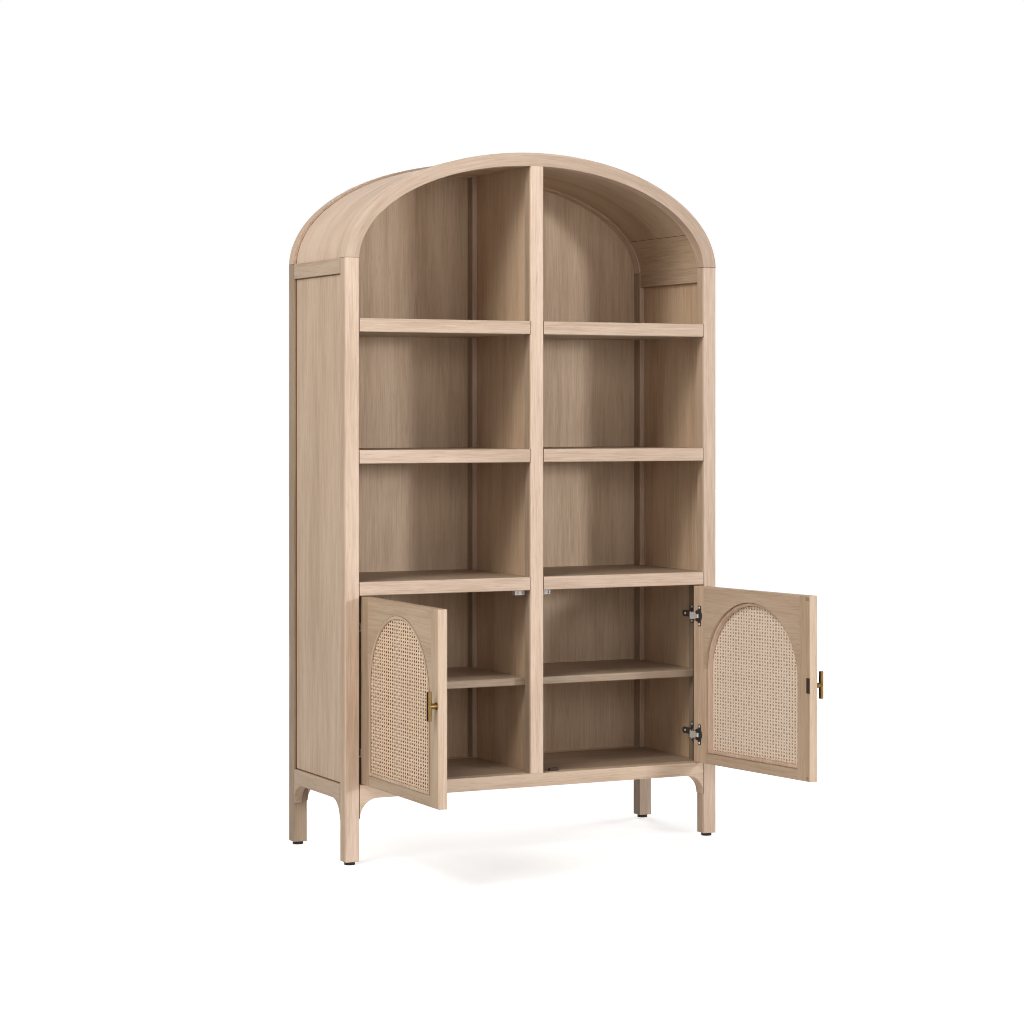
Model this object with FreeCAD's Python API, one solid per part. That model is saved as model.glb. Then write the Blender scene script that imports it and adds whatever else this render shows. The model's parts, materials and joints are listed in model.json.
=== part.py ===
import FreeCAD, Part
import math
import os

# Arched oak bookcase with a divider, six fixed shelves and a two-door cane cupboard.
# Millimetres. +X is right, +Y is the back, +Z is up. The origin is on the floor, under the middle.

# Overall size
WIDTH = 1168.0
DEPTH = 425.0
HEIGHT = 1968.0

# Framing timber
POST = 40.0
ARCH_RAIL_AT_CROWN = 37.0
BOARD = 37.0
SIDE_RAIL_HEIGHT = 42.0
EDGE_EASE = 1.5
FOOT_HEIGHT = 9.0
FOOT_DIAMETER = 30.0
BRACKET_RADIUS = 55.0
BRACKET_TOE = 2.0

# Heights
FLOOR_TOP = 217.0
CUPBOARD_CLEAR = 517.5
SHELF_PITCH = 361.0
ARCH_RISE = 317.0
SPRINGING_ABOVE_CENTRE = 8.0
HAUNCH_SEAM_ABOVE_CENTRE = 104.0

# Panels
SIDE_PANEL = 18.0
SIDE_PANEL_RECESS = 6.5
GROOVE = 8.0
GROOVE_ROOM = 0.5
BACK_PANEL = 5.0
DIVIDER_PANEL = 10.0
FLOOR_BOARD = 18.0
ARCH_SKIN = 12.0
LINER_RECESS = 2.5

# Adjustable shelves and their pegs
LOOSE_SHELF = 21.0
LOOSE_SHELF_TOP = 482.5
LOOSE_SHELF_SETBACK = 55.0
LOOSE_SHELF_ROOM = 1.0
PEG = 6.0
PEG_IN_PANEL = 9.0
PEG_REACH = 9.0
PEG_INSET = 75.0
HOLE_ROOM = 0.2

# Doors
DOOR_THICKNESS = 25.0
DOOR_GAP = 3.0
DOOR_STILE_BELOW = 55.0
DOOR_STILE_ABOVE = 46.0
DOOR_TOP_MARGIN = 34.0
DOOR_BOTTOM_MARGIN = 29.0
BEAD_WIDTH = 9.5
BEAD_PROUD = 1.5
BACK_BEAD = 13.0
BACK_BEAD_BEVEL = 4.0
CANE = 2.0
CANE_DEPTH = 2.0
LEFT_DOOR_OPEN = 90.5
RIGHT_DOOR_OPEN = 98.0

# Concealed hinges: places are measured from the post's inner face and from the front
HINGE_AXIS_IN = 8.0
HINGE_FROM_TOP = 86.0
HINGE_FROM_BOTTOM = 81.0
BATTEN_DEPTH = 47.0
CUP_DIAMETER = 35.0
CUP_DEPTH = 12.0
CUP_FROM_EDGE = 22.0
WING_FROM_EDGE = 28.0
WING_WIDTH = 14.0
WING_LENGTH = 60.0
FLANGE = 1.5
KNUCKLE_FROM_EDGE = 25.0
KNUCKLE_RISE = 5.0
KNUCKLE = 6.5
KNUCKLE_HEIGHT = 12.0
EAR = 8.0
LINK_HEIGHT = 19.0
LINK_THICKNESS = 3.0
LINK_KNEE = (8.0, 29.7)
LINK_TAIL = (-11.0, 61.7)
PLATE = 3.0
PLATE_LENGTH = 28.0
PLATE_WING = (14.0, 56.0)
ARM = 8.0
ARM_HEIGHT = 18.0
ARM_FRONT = 36.0
ARM_BACK = 106.0
NOSE = 8.5
NOSE_LENGTH = 8.0

# Pulls, catches and small fittings
PULL_HEIGHT = 484.0
PULL_FROM_EDGE = 10.0
PULL_COLLAR = (19.0, 4.0)
PULL_STEM = 13.0
PULL_BAR = 13.0
PULL_LENGTH = 76.0
PULL_REACH = 22.0
PULL_PLATE = (13.0, 42.0, 1.5)
BUMPER = (9.0, 1.5)
STRIKE = (12.0, 9.0, 1.5)
BUTTON_FROM_EDGE = 13.0
BUTTON_FROM_END = 9.0
CATCH_BODY = (30.0, 18.0, 13.0)
CATCH_FLANGE = (38.0, 22.0, 2.0)
CATCH_SETBACK = 28.0
CATCH_FROM_DIVIDER = 2.0
MAGNET = (6.0, 3.0, 8.0)

# Planes and lines that follow from those sizes
FRONT = -DEPTH / 2
REAR = DEPTH / 2
OUTSIDE = WIDTH / 2
INSIDE = OUTSIDE - POST
BEHIND_FRONT = FRONT + POST
BEFORE_REAR = REAR - POST
BACK_FACE = REAR - BACK_PANEL
PANEL_OUT = OUTSIDE - SIDE_PANEL_RECESS
PANEL_IN = PANEL_OUT - SIDE_PANEL
DIVIDER_FACE = DIVIDER_PANEL / 2
STILE_FACE = POST / 2
ARCH_CENTRE = HEIGHT - ARCH_RISE
SPRINGING = ARCH_CENTRE + SPRINGING_ABOVE_CENTRE
INNER_RISE = ARCH_RISE - ARCH_RAIL_AT_CROWN
RAIL_BOTTOM = FLOOR_TOP - BOARD
LOWER_SHELF_TOP = FLOOR_TOP + CUPBOARD_CLEAR + BOARD
CUPBOARD_TOP = LOWER_SHELF_TOP - BOARD
DOOR_BOTTOM = FLOOR_TOP + DOOR_GAP
DOOR_TOP = CUPBOARD_TOP - DOOR_GAP
HINGE_EDGE = INSIDE - DOOR_GAP
FREE_EDGE = STILE_FACE + DOOR_GAP
HINGE_AXIS = INSIDE - HINGE_AXIS_IN
DOOR_BACK = FRONT + DOOR_THICKNESS
HINGE_HEIGHTS = (DOOR_BOTTOM + HINGE_FROM_BOTTOM, DOOR_TOP - HINGE_FROM_TOP)
TINY = 0.01
REACH = 3000.0

V = FreeCAD.Vector
ALONG_X = V(1, 0, 0)
ALONG_Y = V(0, 1, 0)
ALONG_Z = V(0, 0, 1)


def block(x0, x1, y0, y1, z0, z1):
    """A box between two corners."""
    return Part.makeBox(x1 - x0, y1 - y0, z1 - z0, V(x0, y0, z0))


def mirrored(shape):
    """The same piece on the other side of the middle."""
    return shape.mirror(V(0, 0, 0), ALONG_X)


def chosen(shape, wanted):
    """The edges whose middle and direction the test accepts."""
    edges = []
    for edge in shape.Edges:
        middle = edge.valueAt((edge.FirstParameter + edge.LastParameter) / 2)
        straight = edge.Curve.TypeId == "Part::GeomLine"
        direction = edge.Curve.Direction if straight else None
        if wanted(middle, direction):
            edges.append(edge)
    return edges


def eased(shape, wanted, size=EDGE_EASE):
    """Bevel the edges that the test accepts."""
    return shape.makeChamfer(size, chosen(shape, wanted))


def upright(middle, direction):
    """True for straight edges that stand upright."""
    return direction is not None and abs(direction.z) > 0.99


def oval(half_width, rise, y0, y1):
    """A bar of elliptical section lying front to back, about the centre of the arch."""
    centre = V(0, y0, ARCH_CENTRE)
    ellipse = Part.Ellipse(centre + V(half_width, 0, 0), centre + V(0, 0, rise), centre)
    face = Part.Face(Part.Wire([ellipse.toShape()]))
    return face.extrude(V(0, y1 - y0, 0))


def arch_band(outer, inner, y0, y1):
    """The part of an elliptical band that stands above the springing line."""
    band = oval(outer[0], outer[1], y0, y1).cut(oval(inner[0], inner[1], y0, y1))
    return band.common(block(-REACH, REACH, y0, y1, SPRINGING, REACH)).Solids[0]


def inset_arch(depth):
    """Half width and rise of the arch's outer curve, drawn in by a depth."""
    return OUTSIDE - depth, ARCH_RISE - depth


RAIL_INNER = (INSIDE, INNER_RISE)
SKIN_OUTER = inset_arch(SIDE_PANEL_RECESS)
SKIN_INNER = inset_arch(SIDE_PANEL_RECESS + ARCH_SKIN)
LINER_INNER = (INSIDE + LINER_RECESS, INNER_RISE + LINER_RECESS)
BACK_OUTLINE = (INSIDE + GROOVE - GROOVE_ROOM, INNER_RISE + GROOVE - GROOVE_ROOM)


def profile(points, origin, across, up, thickness):
    """Extrude a closed outline. A point is (a, b), or (a, b, middle a, middle b) to arrive by an arc."""
    def place(a, b):
        return origin + across * a + up * b

    edges = []
    for start, end in zip(points, points[1:] + points[:1]):
        first = place(start[0], start[1])
        last = place(end[0], end[1])
        if len(end) == 4:
            edges.append(Part.Arc(first, place(end[2], end[3]), last).toShape())
        else:
            edges.append(Part.LineSegment(first, last).toShape())
    return Part.Face(Part.Wire(edges)).extrude(thickness)


def front_post():
    """The right front post, grooved behind for the side panel."""
    post = block(INSIDE, OUTSIDE, FRONT, BEHIND_FRONT, FOOT_HEIGHT, SPRINGING)
    post = eased(post, upright)
    return post.cut(panel_groove(BEHIND_FRONT - GROOVE, BEHIND_FRONT))


def rear_post():
    """The right rear post, grooved for the side panel and rebated for the back."""
    post = block(INSIDE, OUTSIDE, BEFORE_REAR, REAR, FOOT_HEIGHT, SPRINGING)
    post = eased(post, upright)
    post = post.cut(panel_groove(BEFORE_REAR, BEFORE_REAR + GROOVE))
    return post.cut(back_rebate())


def panel_groove(y0, y1):
    """The groove that holds an upright edge of the side panel."""
    low = FLOOR_TOP - GROOVE
    high = SPRINGING - SIDE_RAIL_HEIGHT + GROOVE
    return block(PANEL_IN, PANEL_OUT, y0, y1, low, high)


def arched_slab(half_width, rise, y0, y1, low):
    """A slab that fills an arch: square up to the arch's centre and half an ellipse above it."""
    centre = V(0, y0, ARCH_CENTRE)
    ellipse = Part.Ellipse(centre + V(half_width, 0, 0), centre + V(0, 0, rise), centre)
    edges = [Part.ArcOfEllipse(ellipse, 0, math.pi).toShape()]
    corners = [
        V(-half_width, y0, ARCH_CENTRE), V(-half_width, y0, low),
        V(half_width, y0, low), V(half_width, y0, ARCH_CENTRE),
    ]
    for start, end in zip(corners, corners[1:]):
        edges.append(Part.LineSegment(start, end).toShape())
    return Part.Face(Part.Wire(edges)).extrude(V(0, y1 - y0, 0))


def under_arch(half_width, rise):
    """The space under an arch from below the floor up, reaching past the front and the back."""
    return arched_slab(half_width, rise, FRONT - POST, REAR + POST, -POST)


def back_rebate():
    """The rebate round the rear frame that takes the back panel."""
    return arched_slab(INSIDE + GROOVE, INNER_RISE + GROOVE, BACK_FACE, REAR, FLOOR_TOP - GROOVE)


def arch_rail(y0, y1):
    """A solid arch that joins two posts at the springing line."""
    return arch_band(inset_arch(0), RAIL_INNER, y0, y1)


def back_panel():
    """The thin back, square below and arched above, let into the rear frame."""
    half_width, rise = BACK_OUTLINE
    return arched_slab(half_width, rise, BACK_FACE, REAR, FLOOR_TOP - GROOVE + GROOVE_ROOM)


def haunch_cutter():
    """The wedge of space at the right haunch, below the seam that runs square to the liner."""
    half_width, rise = LINER_INNER
    seam_x = half_width * math.sqrt(1 - (HAUNCH_SEAM_ABOVE_CENTRE / rise) ** 2)
    seam_z = ARCH_CENTRE + HAUNCH_SEAM_ABOVE_CENTRE
    square = V(rise * seam_x / half_width, 0, half_width * HAUNCH_SEAM_ABOVE_CENTRE / rise)
    square.normalize()
    tilt = math.degrees(math.atan2(square.z, square.x))
    wedge = block(-POST, REACH, FRONT, REAR, -REACH, 0)
    wedge.rotate(V(0, 0, 0), ALONG_Y, -tilt)
    wedge.translate(V(seam_x, 0, seam_z))
    return wedge


def top_side_rail():
    """The right rail at the springing line, grooved below for the side panel."""
    low = SPRINGING - SIDE_RAIL_HEIGHT
    rail = block(LINER_INNER[0], OUTSIDE, BEHIND_FRONT, BEFORE_REAR, low, SPRINGING)
    return rail.cut(block(PANEL_IN, PANEL_OUT, FRONT, REAR, low, low + GROOVE))


def bracket_rail(span, height):
    """Outline of a bottom rail with a quarter-round bracket at each end, from its top middle."""
    end = span / 2
    toe = end - BRACKET_TOE
    start = toe - BRACKET_RADIUS
    bend = start + BRACKET_RADIUS * math.sqrt(0.5)
    bend_low = -height - BRACKET_RADIUS * (1 - math.sqrt(0.5))
    low = -height - BRACKET_RADIUS
    right = [(end, 0), (end, low), (toe, low), (start, -height, bend, bend_low)]
    left = [(-start, -height), (-toe, low, -bend, bend_low), (-end, low), (-end, 0)]
    return right + left


def front_bottom_rail(y):
    """A rail between two posts under the cupboard, with brackets."""
    outline = bracket_rail(2 * INSIDE, BOARD)
    return profile(outline, V(0, y, FLOOR_TOP), ALONG_X, ALONG_Z, V(0, POST, 0))


def side_bottom_rail():
    """The right bottom rail, grooved above for the side panel, with brackets."""
    outline = bracket_rail(BEFORE_REAR - BEHIND_FRONT, SIDE_RAIL_HEIGHT)
    thickness = V(OUTSIDE - PANEL_IN, 0, 0)
    rail = profile(outline, V(PANEL_IN, 0, FLOOR_TOP), ALONG_Y, ALONG_Z, thickness)
    return rail.cut(block(PANEL_IN, PANEL_OUT, FRONT, REAR, FLOOR_TOP - GROOVE, FLOOR_TOP))


def side_panel():
    """The right side panel, with holes for the shelf pegs."""
    hold = GROOVE - GROOVE_ROOM
    low = FLOOR_TOP - hold
    high = SPRINGING - SIDE_RAIL_HEIGHT + hold
    panel = block(PANEL_IN, PANEL_OUT, BEHIND_FRONT - hold, BEFORE_REAR + hold, low, high)
    return panel.cut(peg_holes(PANEL_IN, PANEL_IN + PEG_IN_PANEL))


def divider_stile(y0, y1):
    """An upright of the divider, scribed to the arch at its top."""
    stile = block(-STILE_FACE, STILE_FACE, y0, y1, FLOOR_TOP, HEIGHT)
    stile = eased(stile, upright)
    stile = stile.common(under_arch(INSIDE, INNER_RISE))
    low = BEHIND_FRONT - GROOVE
    high = BEFORE_REAR + GROOVE
    return stile.cut(block(-DIVIDER_FACE, DIVIDER_FACE, low, high, FLOOR_TOP, HEIGHT)).Solids[0]


def divider_panel():
    """The thin upright panel between the divider's two stiles, scribed to the arch liner."""
    hold = GROOVE - GROOVE_ROOM
    y0 = BEHIND_FRONT - hold
    y1 = BEFORE_REAR + hold
    tongue = block(-DIVIDER_FACE, DIVIDER_FACE, y0, y1, FLOOR_TOP, ARCH_CENTRE + INNER_RISE - LINER_RECESS)
    between = block(-DIVIDER_FACE, DIVIDER_FACE, BEHIND_FRONT, BEFORE_REAR, FLOOR_TOP, HEIGHT)
    between = between.common(under_arch(LINER_INNER[0], LINER_INNER[1]))
    panel = tongue.fuse(between).removeSplitter()
    return panel.cut(peg_holes(-DIVIDER_FACE, DIVIDER_FACE)).Solids[0]


def fixed_shelf(top):
    """A right fixed shelf, notched round the posts and the divider's stiles."""
    shelf = block(DIVIDER_FACE, PANEL_IN, FRONT, BACK_FACE, top - BOARD, top)
    for y0, y1 in ((FRONT, BEHIND_FRONT), (BEFORE_REAR, BACK_FACE)):
        shelf = shelf.cut(block(DIVIDER_FACE, STILE_FACE, y0, y1, top - BOARD, top))
        shelf = shelf.cut(block(INSIDE, PANEL_IN, y0, y1, top - BOARD, top))
    return eased(shelf, lambda middle, direction: middle.y < FRONT + TINY and not upright(middle, direction))


def cupboard_floor():
    """The right half of the cupboard's floor, between the bottom rails."""
    return block(0, PANEL_IN, BEHIND_FRONT, BEFORE_REAR, FLOOR_TOP - FLOOR_BOARD, FLOOR_TOP)


def loose_shelf():
    """The right adjustable shelf, notched round the hinge batten and the rear uprights."""
    low = LOOSE_SHELF_TOP - LOOSE_SHELF
    front = FRONT + LOOSE_SHELF_SETBACK
    left = DIVIDER_FACE + LOOSE_SHELF_ROOM
    right = PANEL_IN - LOOSE_SHELF_ROOM
    rear = BACK_FACE - LOOSE_SHELF_ROOM
    shelf = block(left, right, front, rear, low, LOOSE_SHELF_TOP)
    batten_back = BEHIND_FRONT + BATTEN_DEPTH + LOOSE_SHELF_ROOM
    rear_front = BEFORE_REAR - LOOSE_SHELF_ROOM
    post_side = INSIDE - LOOSE_SHELF_ROOM
    stile_side = STILE_FACE + LOOSE_SHELF_ROOM
    shelf = shelf.cut(block(post_side, right, front, batten_back, low, LOOSE_SHELF_TOP))
    shelf = shelf.cut(block(post_side, right, rear_front, rear, low, LOOSE_SHELF_TOP))
    shelf = shelf.cut(block(left, stile_side, rear_front, rear, low, LOOSE_SHELF_TOP))
    return eased(shelf, lambda middle, direction: middle.y < front + TINY and not upright(middle, direction))


def peg_places():
    """Depths of the front and rear shelf pegs, and the height of their middles."""
    height = LOOSE_SHELF_TOP - LOOSE_SHELF - PEG / 2
    return [(y, height) for y in (BEHIND_FRONT + PEG_INSET, BEFORE_REAR - PEG_INSET)]


def peg_holes(x0, x1):
    """Holes for the front and rear pegs, drilled from one plane to another."""
    radius = (PEG + HOLE_ROOM) / 2
    return Part.Compound([Part.makeCylinder(radius, x1 - x0, V(x0, y, z), ALONG_X) for y, z in peg_places()])


def shelf_pegs():
    """Two pegs in each side panel, and two right through the divider that serve both shelves."""
    pegs = []
    for y, z in peg_places():
        side_peg = Part.makeCylinder(PEG / 2, PEG_REACH + PEG_IN_PANEL, V(PANEL_IN - PEG_REACH, y, z), ALONG_X)
        reach = DIVIDER_FACE + PEG_REACH
        middle_peg = Part.makeCylinder(PEG / 2, 2 * reach, V(-reach, y, z), ALONG_X)
        pegs += [side_peg, mirrored(side_peg), middle_peg]
    return Part.Compound(pegs)


def hinge_batten():
    """The upright behind the right front post that carries the hinge plates."""
    return block(INSIDE, PANEL_IN, BEHIND_FRONT, BEHIND_FRONT + BATTEN_DEPTH, FLOOR_TOP, CUPBOARD_TOP)


def hinge_plate(height):
    """A cross-shaped mounting plate on the batten."""
    wing_width, wing_length = PLATE_WING
    back = BEHIND_FRONT + BATTEN_DEPTH
    middle = (BEHIND_FRONT + back) / 2
    y0 = middle - PLATE_LENGTH / 2
    half = ARM_HEIGHT / 2
    foot = block(INSIDE - PLATE, INSIDE, y0, y0 + PLATE_LENGTH, height - half, height + half)
    low = height - wing_length / 2
    wing_front = middle - wing_width / 2
    wing = block(INSIDE - PLATE, INSIDE, wing_front, wing_front + wing_width, low, low + wing_length)
    wing = eased(wing, lambda where, way: abs(way.x) > 0.99, wing_width / 4)
    return foot.fuse(wing).removeSplitter()


def hinge_arm(height):
    """The fixed arm clipped on a plate, with a tapered tail and a raised nose at the front."""
    half = ARM_HEIGHT / 2
    outer = INSIDE - PLATE
    arm = block(outer - ARM, outer, FRONT + ARM_FRONT, FRONT + ARM_BACK, height - half, height + half)
    arm = eased(arm, lambda where, way: where.y > FRONT + ARM_BACK - TINY and abs(way.x) > 0.99, half / 2)
    nose_face = outer - ARM
    y0 = FRONT + ARM_FRONT
    nose = block(nose_face - NOSE, nose_face, y0, y0 + NOSE_LENGTH, height - half, height + half)
    return arm.fuse(nose).removeSplitter()


def knuckle_place():
    """Where the link turns when the right door is shut."""
    return V(HINGE_EDGE - KNUCKLE_FROM_EDGE, DOOR_BACK + KNUCKLE_RISE, 0)


def hinge_cup(height):
    """A cup sunk in the door, with a winged flange and two ears that hold the link's knuckle."""
    centre = V(HINGE_EDGE - CUP_FROM_EDGE, DOOR_BACK + FLANGE, height)
    bowl = Part.makeCylinder(CUP_DIAMETER / 2, CUP_DEPTH + FLANGE, centre, -ALONG_Y)
    wing_x = HINGE_EDGE - WING_FROM_EDGE
    half_wing = WING_WIDTH / 2
    low = height - WING_LENGTH / 2
    wing = block(wing_x - half_wing, wing_x + half_wing, DOOR_BACK, DOOR_BACK + FLANGE, low, low + WING_LENGTH)
    wing = eased(wing, lambda where, way: abs(way.y) > 0.99, half_wing / 2)
    cup = bowl.fuse(wing)
    knuckle = knuckle_place()
    for side in (-1, 1):
        inner = height + side * KNUCKLE_HEIGHT / 2
        outer = height + side * LINK_HEIGHT / 2
        ear_low, ear_high = sorted((inner, outer))
        x0 = knuckle.x - EAR / 2
        cup = cup.fuse(block(x0, x0 + EAR, DOOR_BACK, knuckle.y + EAR / 2, ear_low, ear_high))
    return cup.removeSplitter()


def hinge_link(height):
    """A bent link with a knuckle in the cup's ears; its tail lies over the arm's nose when the door is open."""
    knuckle = knuckle_place()
    half = LINK_THICKNESS / 2
    knee_in, knee_back = LINK_KNEE
    tail_in, tail_back = LINK_TAIL
    outline = [
        (-half, 0), (-knee_in - half, knee_back), (-tail_in - half, tail_back),
        (-tail_in + half, tail_back), (-knee_in + half, knee_back), (half, 0),
    ]
    low = height - LINK_HEIGHT / 2
    strip = profile(outline, V(knuckle.x, knuckle.y, low), ALONG_X, ALONG_Y, V(0, 0, LINK_HEIGHT))
    barrel_low = height - KNUCKLE_HEIGHT / 2
    x0 = knuckle.x - knee_in - EAR
    for low_cut, high_cut in ((low, barrel_low), (barrel_low + KNUCKLE_HEIGHT, low + LINK_HEIGHT)):
        strip = strip.cut(block(x0, knuckle.x + EAR, knuckle.y - EAR, knuckle.y + EAR, low_cut, high_cut))
    barrel = Part.makeCylinder(KNUCKLE / 2, KNUCKLE_HEIGHT, V(knuckle.x, knuckle.y, barrel_low), ALONG_Z)
    return strip.fuse(barrel).removeSplitter()


def window_outline(inset, y, thickness):
    """The arched window of the right door, drawn in by an inset, as a slab."""
    left = FREE_EDGE + DOOR_STILE_BELOW + inset
    right = HINGE_EDGE - DOOR_STILE_BELOW - inset
    low = DOOR_BOTTOM + DOOR_BOTTOM_MARGIN + inset
    middle = (left + right) / 2
    high = DOOR_TOP - DOOR_TOP_MARGIN - inset
    spring = window_springing()
    outline = [(left, low), (right, low), (right, spring), (left, spring, middle, high)]
    return profile(outline, V(0, y, 0), ALONG_X, ALONG_Z, V(0, thickness, 0))


def window_springing():
    """Height at which the window's half-round top begins."""
    radius = (HINGE_EDGE - FREE_EDGE - 2 * DOOR_STILE_BELOW) / 2
    return DOOR_TOP - DOOR_TOP_MARGIN - radius


def door_outline_edges(middle, direction):
    """True for the long outer edges of the shut right door."""
    on_face = min(abs(middle.y - FRONT), abs(middle.y - DOOR_BACK)) < TINY
    sides = (abs(middle.x - HINGE_EDGE), abs(middle.x - FREE_EDGE))
    ends = (abs(middle.z - DOOR_TOP), abs(middle.z - DOOR_BOTTOM))
    return on_face and min(sides + ends) < TINY


def door_stile(edge, inward):
    """A door stile, wider below the window's springing; inward is the direction to the window."""
    spring = window_springing()
    pieces = []
    for width, low, high in ((DOOR_STILE_BELOW, DOOR_BOTTOM, spring), (DOOR_STILE_ABOVE, spring, DOOR_TOP)):
        x0, x1 = sorted((edge, edge + inward * width))
        pieces.append(block(x0, x1, FRONT, DOOR_BACK, low, high))
    return eased(pieces[0].fuse(pieces[1]).removeSplitter(), door_outline_edges)


def door_hinge_stile():
    """The stile by the post, bored for the hinge cups."""
    stile = door_stile(HINGE_EDGE, -1)
    x = HINGE_EDGE - CUP_FROM_EDGE
    for height in HINGE_HEIGHTS:
        radius = CUP_DIAMETER / 2 + HOLE_ROOM
        bore = Part.makeCylinder(radius, CUP_DEPTH + HOLE_ROOM, V(x, DOOR_BACK, height), -ALONG_Y)
        stile = stile.cut(bore)
    return stile


def door_top_rail():
    """The rail over the window, cut to the half round."""
    x0 = FREE_EDGE + DOOR_STILE_ABOVE
    x1 = HINGE_EDGE - DOOR_STILE_ABOVE
    rail = block(x0, x1, FRONT, DOOR_BACK, window_springing(), DOOR_TOP)
    rail = rail.cut(window_outline(0, FRONT, DOOR_THICKNESS))
    return eased(rail, door_outline_edges)


def door_bottom_rail():
    """The rail under the window."""
    x0 = FREE_EDGE + DOOR_STILE_BELOW
    x1 = HINGE_EDGE - DOOR_STILE_BELOW
    rail = block(x0, x1, FRONT, DOOR_BACK, DOOR_BOTTOM, DOOR_BOTTOM + DOOR_BOTTOM_MARGIN)
    return eased(rail, door_outline_edges)


def bead_ring(y0, y1):
    """A square-edged band round the inside of the window."""
    return window_outline(0, y0, y1 - y0).cut(window_outline(BEAD_WIDTH, y0, y1 - y0))


def on_inner_edge(middle):
    """True on the window side of a bead, away from the frame."""
    centre = (HINGE_EDGE + FREE_EDGE) / 2
    half = (HINGE_EDGE - FREE_EDGE) / 2 - DOOR_STILE_BELOW
    low = DOOR_BOTTOM + DOOR_BOTTOM_MARGIN
    across = abs(middle.x - centre)
    if middle.z > window_springing() + TINY:
        return math.hypot(across, middle.z - window_springing()) < half - BEAD_WIDTH / 2
    return across < half - BEAD_WIDTH / 2 and middle.z > low + BEAD_WIDTH / 2


def door_beads():
    """The front bead, a little proud of the door, and the back bead; they pinch the cane between them."""
    cane_front = FRONT + CANE_DEPTH
    cane_back = cane_front + CANE
    face = FRONT - BEAD_PROUD
    back = cane_back + BACK_BEAD
    front_bead = bead_ring(face, cane_front)
    back_bead = bead_ring(cane_back, back)
    back_bead = eased(
        back_bead, lambda middle, way: middle.y > back - TINY and on_inner_edge(middle), BACK_BEAD_BEVEL,
    )
    return Part.Compound([front_bead, back_bead])


def door_cane():
    """The sheet of woven cane, held between the beads all round."""
    return window_outline(0, FRONT + CANE_DEPTH, CANE)


def door_pull():
    """A T-bar pull: collar, stem and an upright bar."""
    x = FREE_EDGE + PULL_FROM_EDGE
    root = V(x, FRONT, PULL_HEIGHT)
    collar_diameter, collar_length = PULL_COLLAR
    collar = Part.makeCylinder(collar_diameter / 2, collar_length, root, -ALONG_Y)
    stem = Part.makeCylinder(PULL_STEM / 2, PULL_REACH, root, -ALONG_Y)
    foot = V(x, FRONT - PULL_REACH, PULL_HEIGHT - PULL_LENGTH / 2)
    bar = Part.makeCylinder(PULL_BAR / 2, PULL_LENGTH, foot, ALONG_Z)
    return collar.fuse([stem, bar]).removeSplitter()


def door_pull_plate():
    """The plate behind the pull, on the back of the door."""
    width, length, thickness = PULL_PLATE
    x0 = FREE_EDGE + PULL_FROM_EDGE - width / 2
    low = PULL_HEIGHT - length / 2
    return block(x0, x0 + width, DOOR_BACK, DOOR_BACK + thickness, low, low + length)


def door_buttons():
    """The steel strike at the top corner and the round bumper at the bottom corner, on the back of the door."""
    x = FREE_EDGE + BUTTON_FROM_EDGE
    strike_width, strike_height, strike_thickness = STRIKE
    x0 = x - strike_width / 2
    low = DOOR_TOP - BUTTON_FROM_END - strike_height / 2
    strike = block(x0, x0 + strike_width, DOOR_BACK, DOOR_BACK + strike_thickness, low, low + strike_height)
    diameter, thickness = BUMPER
    bumper = Part.makeCylinder(diameter / 2, thickness, V(x, DOOR_BACK, DOOR_BOTTOM + BUTTON_FROM_END), ALONG_Y)
    return Part.Compound([strike, bumper])


def magnetic_catch():
    """A catch under the lower shelf, with a mounting flange and two magnet slots in its face."""
    body_width, body_depth, body_height = CATCH_BODY
    flange_width, flange_depth, flange_height = CATCH_FLANGE
    x0 = STILE_FACE + CATCH_FROM_DIVIDER
    middle = x0 + flange_width / 2
    y0 = FRONT + CATCH_SETBACK
    flange = block(x0, x0 + flange_width, y0, y0 + flange_depth, CUPBOARD_TOP - flange_height, CUPBOARD_TOP)
    low = CUPBOARD_TOP - flange_height - body_height
    body = block(middle - body_width / 2, middle + body_width / 2, y0, y0 + body_depth, low, CUPBOARD_TOP)
    catch = flange.fuse(body).removeSplitter()
    slot_width, slot_depth, slot_height = MAGNET
    for side in (-1, 1):
        slot_x = middle + side * body_width / 4
        slot_low = low + (body_height - slot_height) / 2
        slot_left = slot_x - slot_width / 2
        slot_top = slot_low + slot_height
        catch = catch.cut(block(slot_left, slot_left + slot_width, y0, y0 + slot_depth, slot_low, slot_top))
    return catch


def foot_glide(x, y):
    """A round pad under a leg."""
    return Part.makeCylinder(FOOT_DIAMETER / 2, FOOT_HEIGHT, V(x, y, 0), ALONG_Z)


def swung(shape, side):
    """Open a door's piece, built shut on the right, to its angle on one side."""
    moved = shape.copy()
    if side > 0:
        moved.rotate(V(HINGE_AXIS, FRONT, 0), ALONG_Z, RIGHT_DOOR_OPEN)
        return moved
    moved.rotate(V(HINGE_AXIS, FRONT, 0), ALONG_Z, LEFT_DOOR_OPEN)
    return mirrored(moved)


def carried_link(shape, side):
    """Carry a link by its knuckle as the door opens; the link itself does not turn."""
    start = knuckle_place()
    angle = math.radians(RIGHT_DOOR_OPEN if side > 0 else LEFT_DOOR_OPEN)
    arm = start - V(HINGE_AXIS, FRONT, 0)
    end = V(
        arm.x * math.cos(angle) - arm.y * math.sin(angle),
        arm.x * math.sin(angle) + arm.y * math.cos(angle), 0,
    )
    moved = shape.copy()
    moved.translate(end - arm)
    return moved if side > 0 else mirrored(moved)


def both_sides(shapes):
    """A group of pieces and their mirror images."""
    return Part.Compound(shapes + [mirrored(shape) for shape in shapes])


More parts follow.
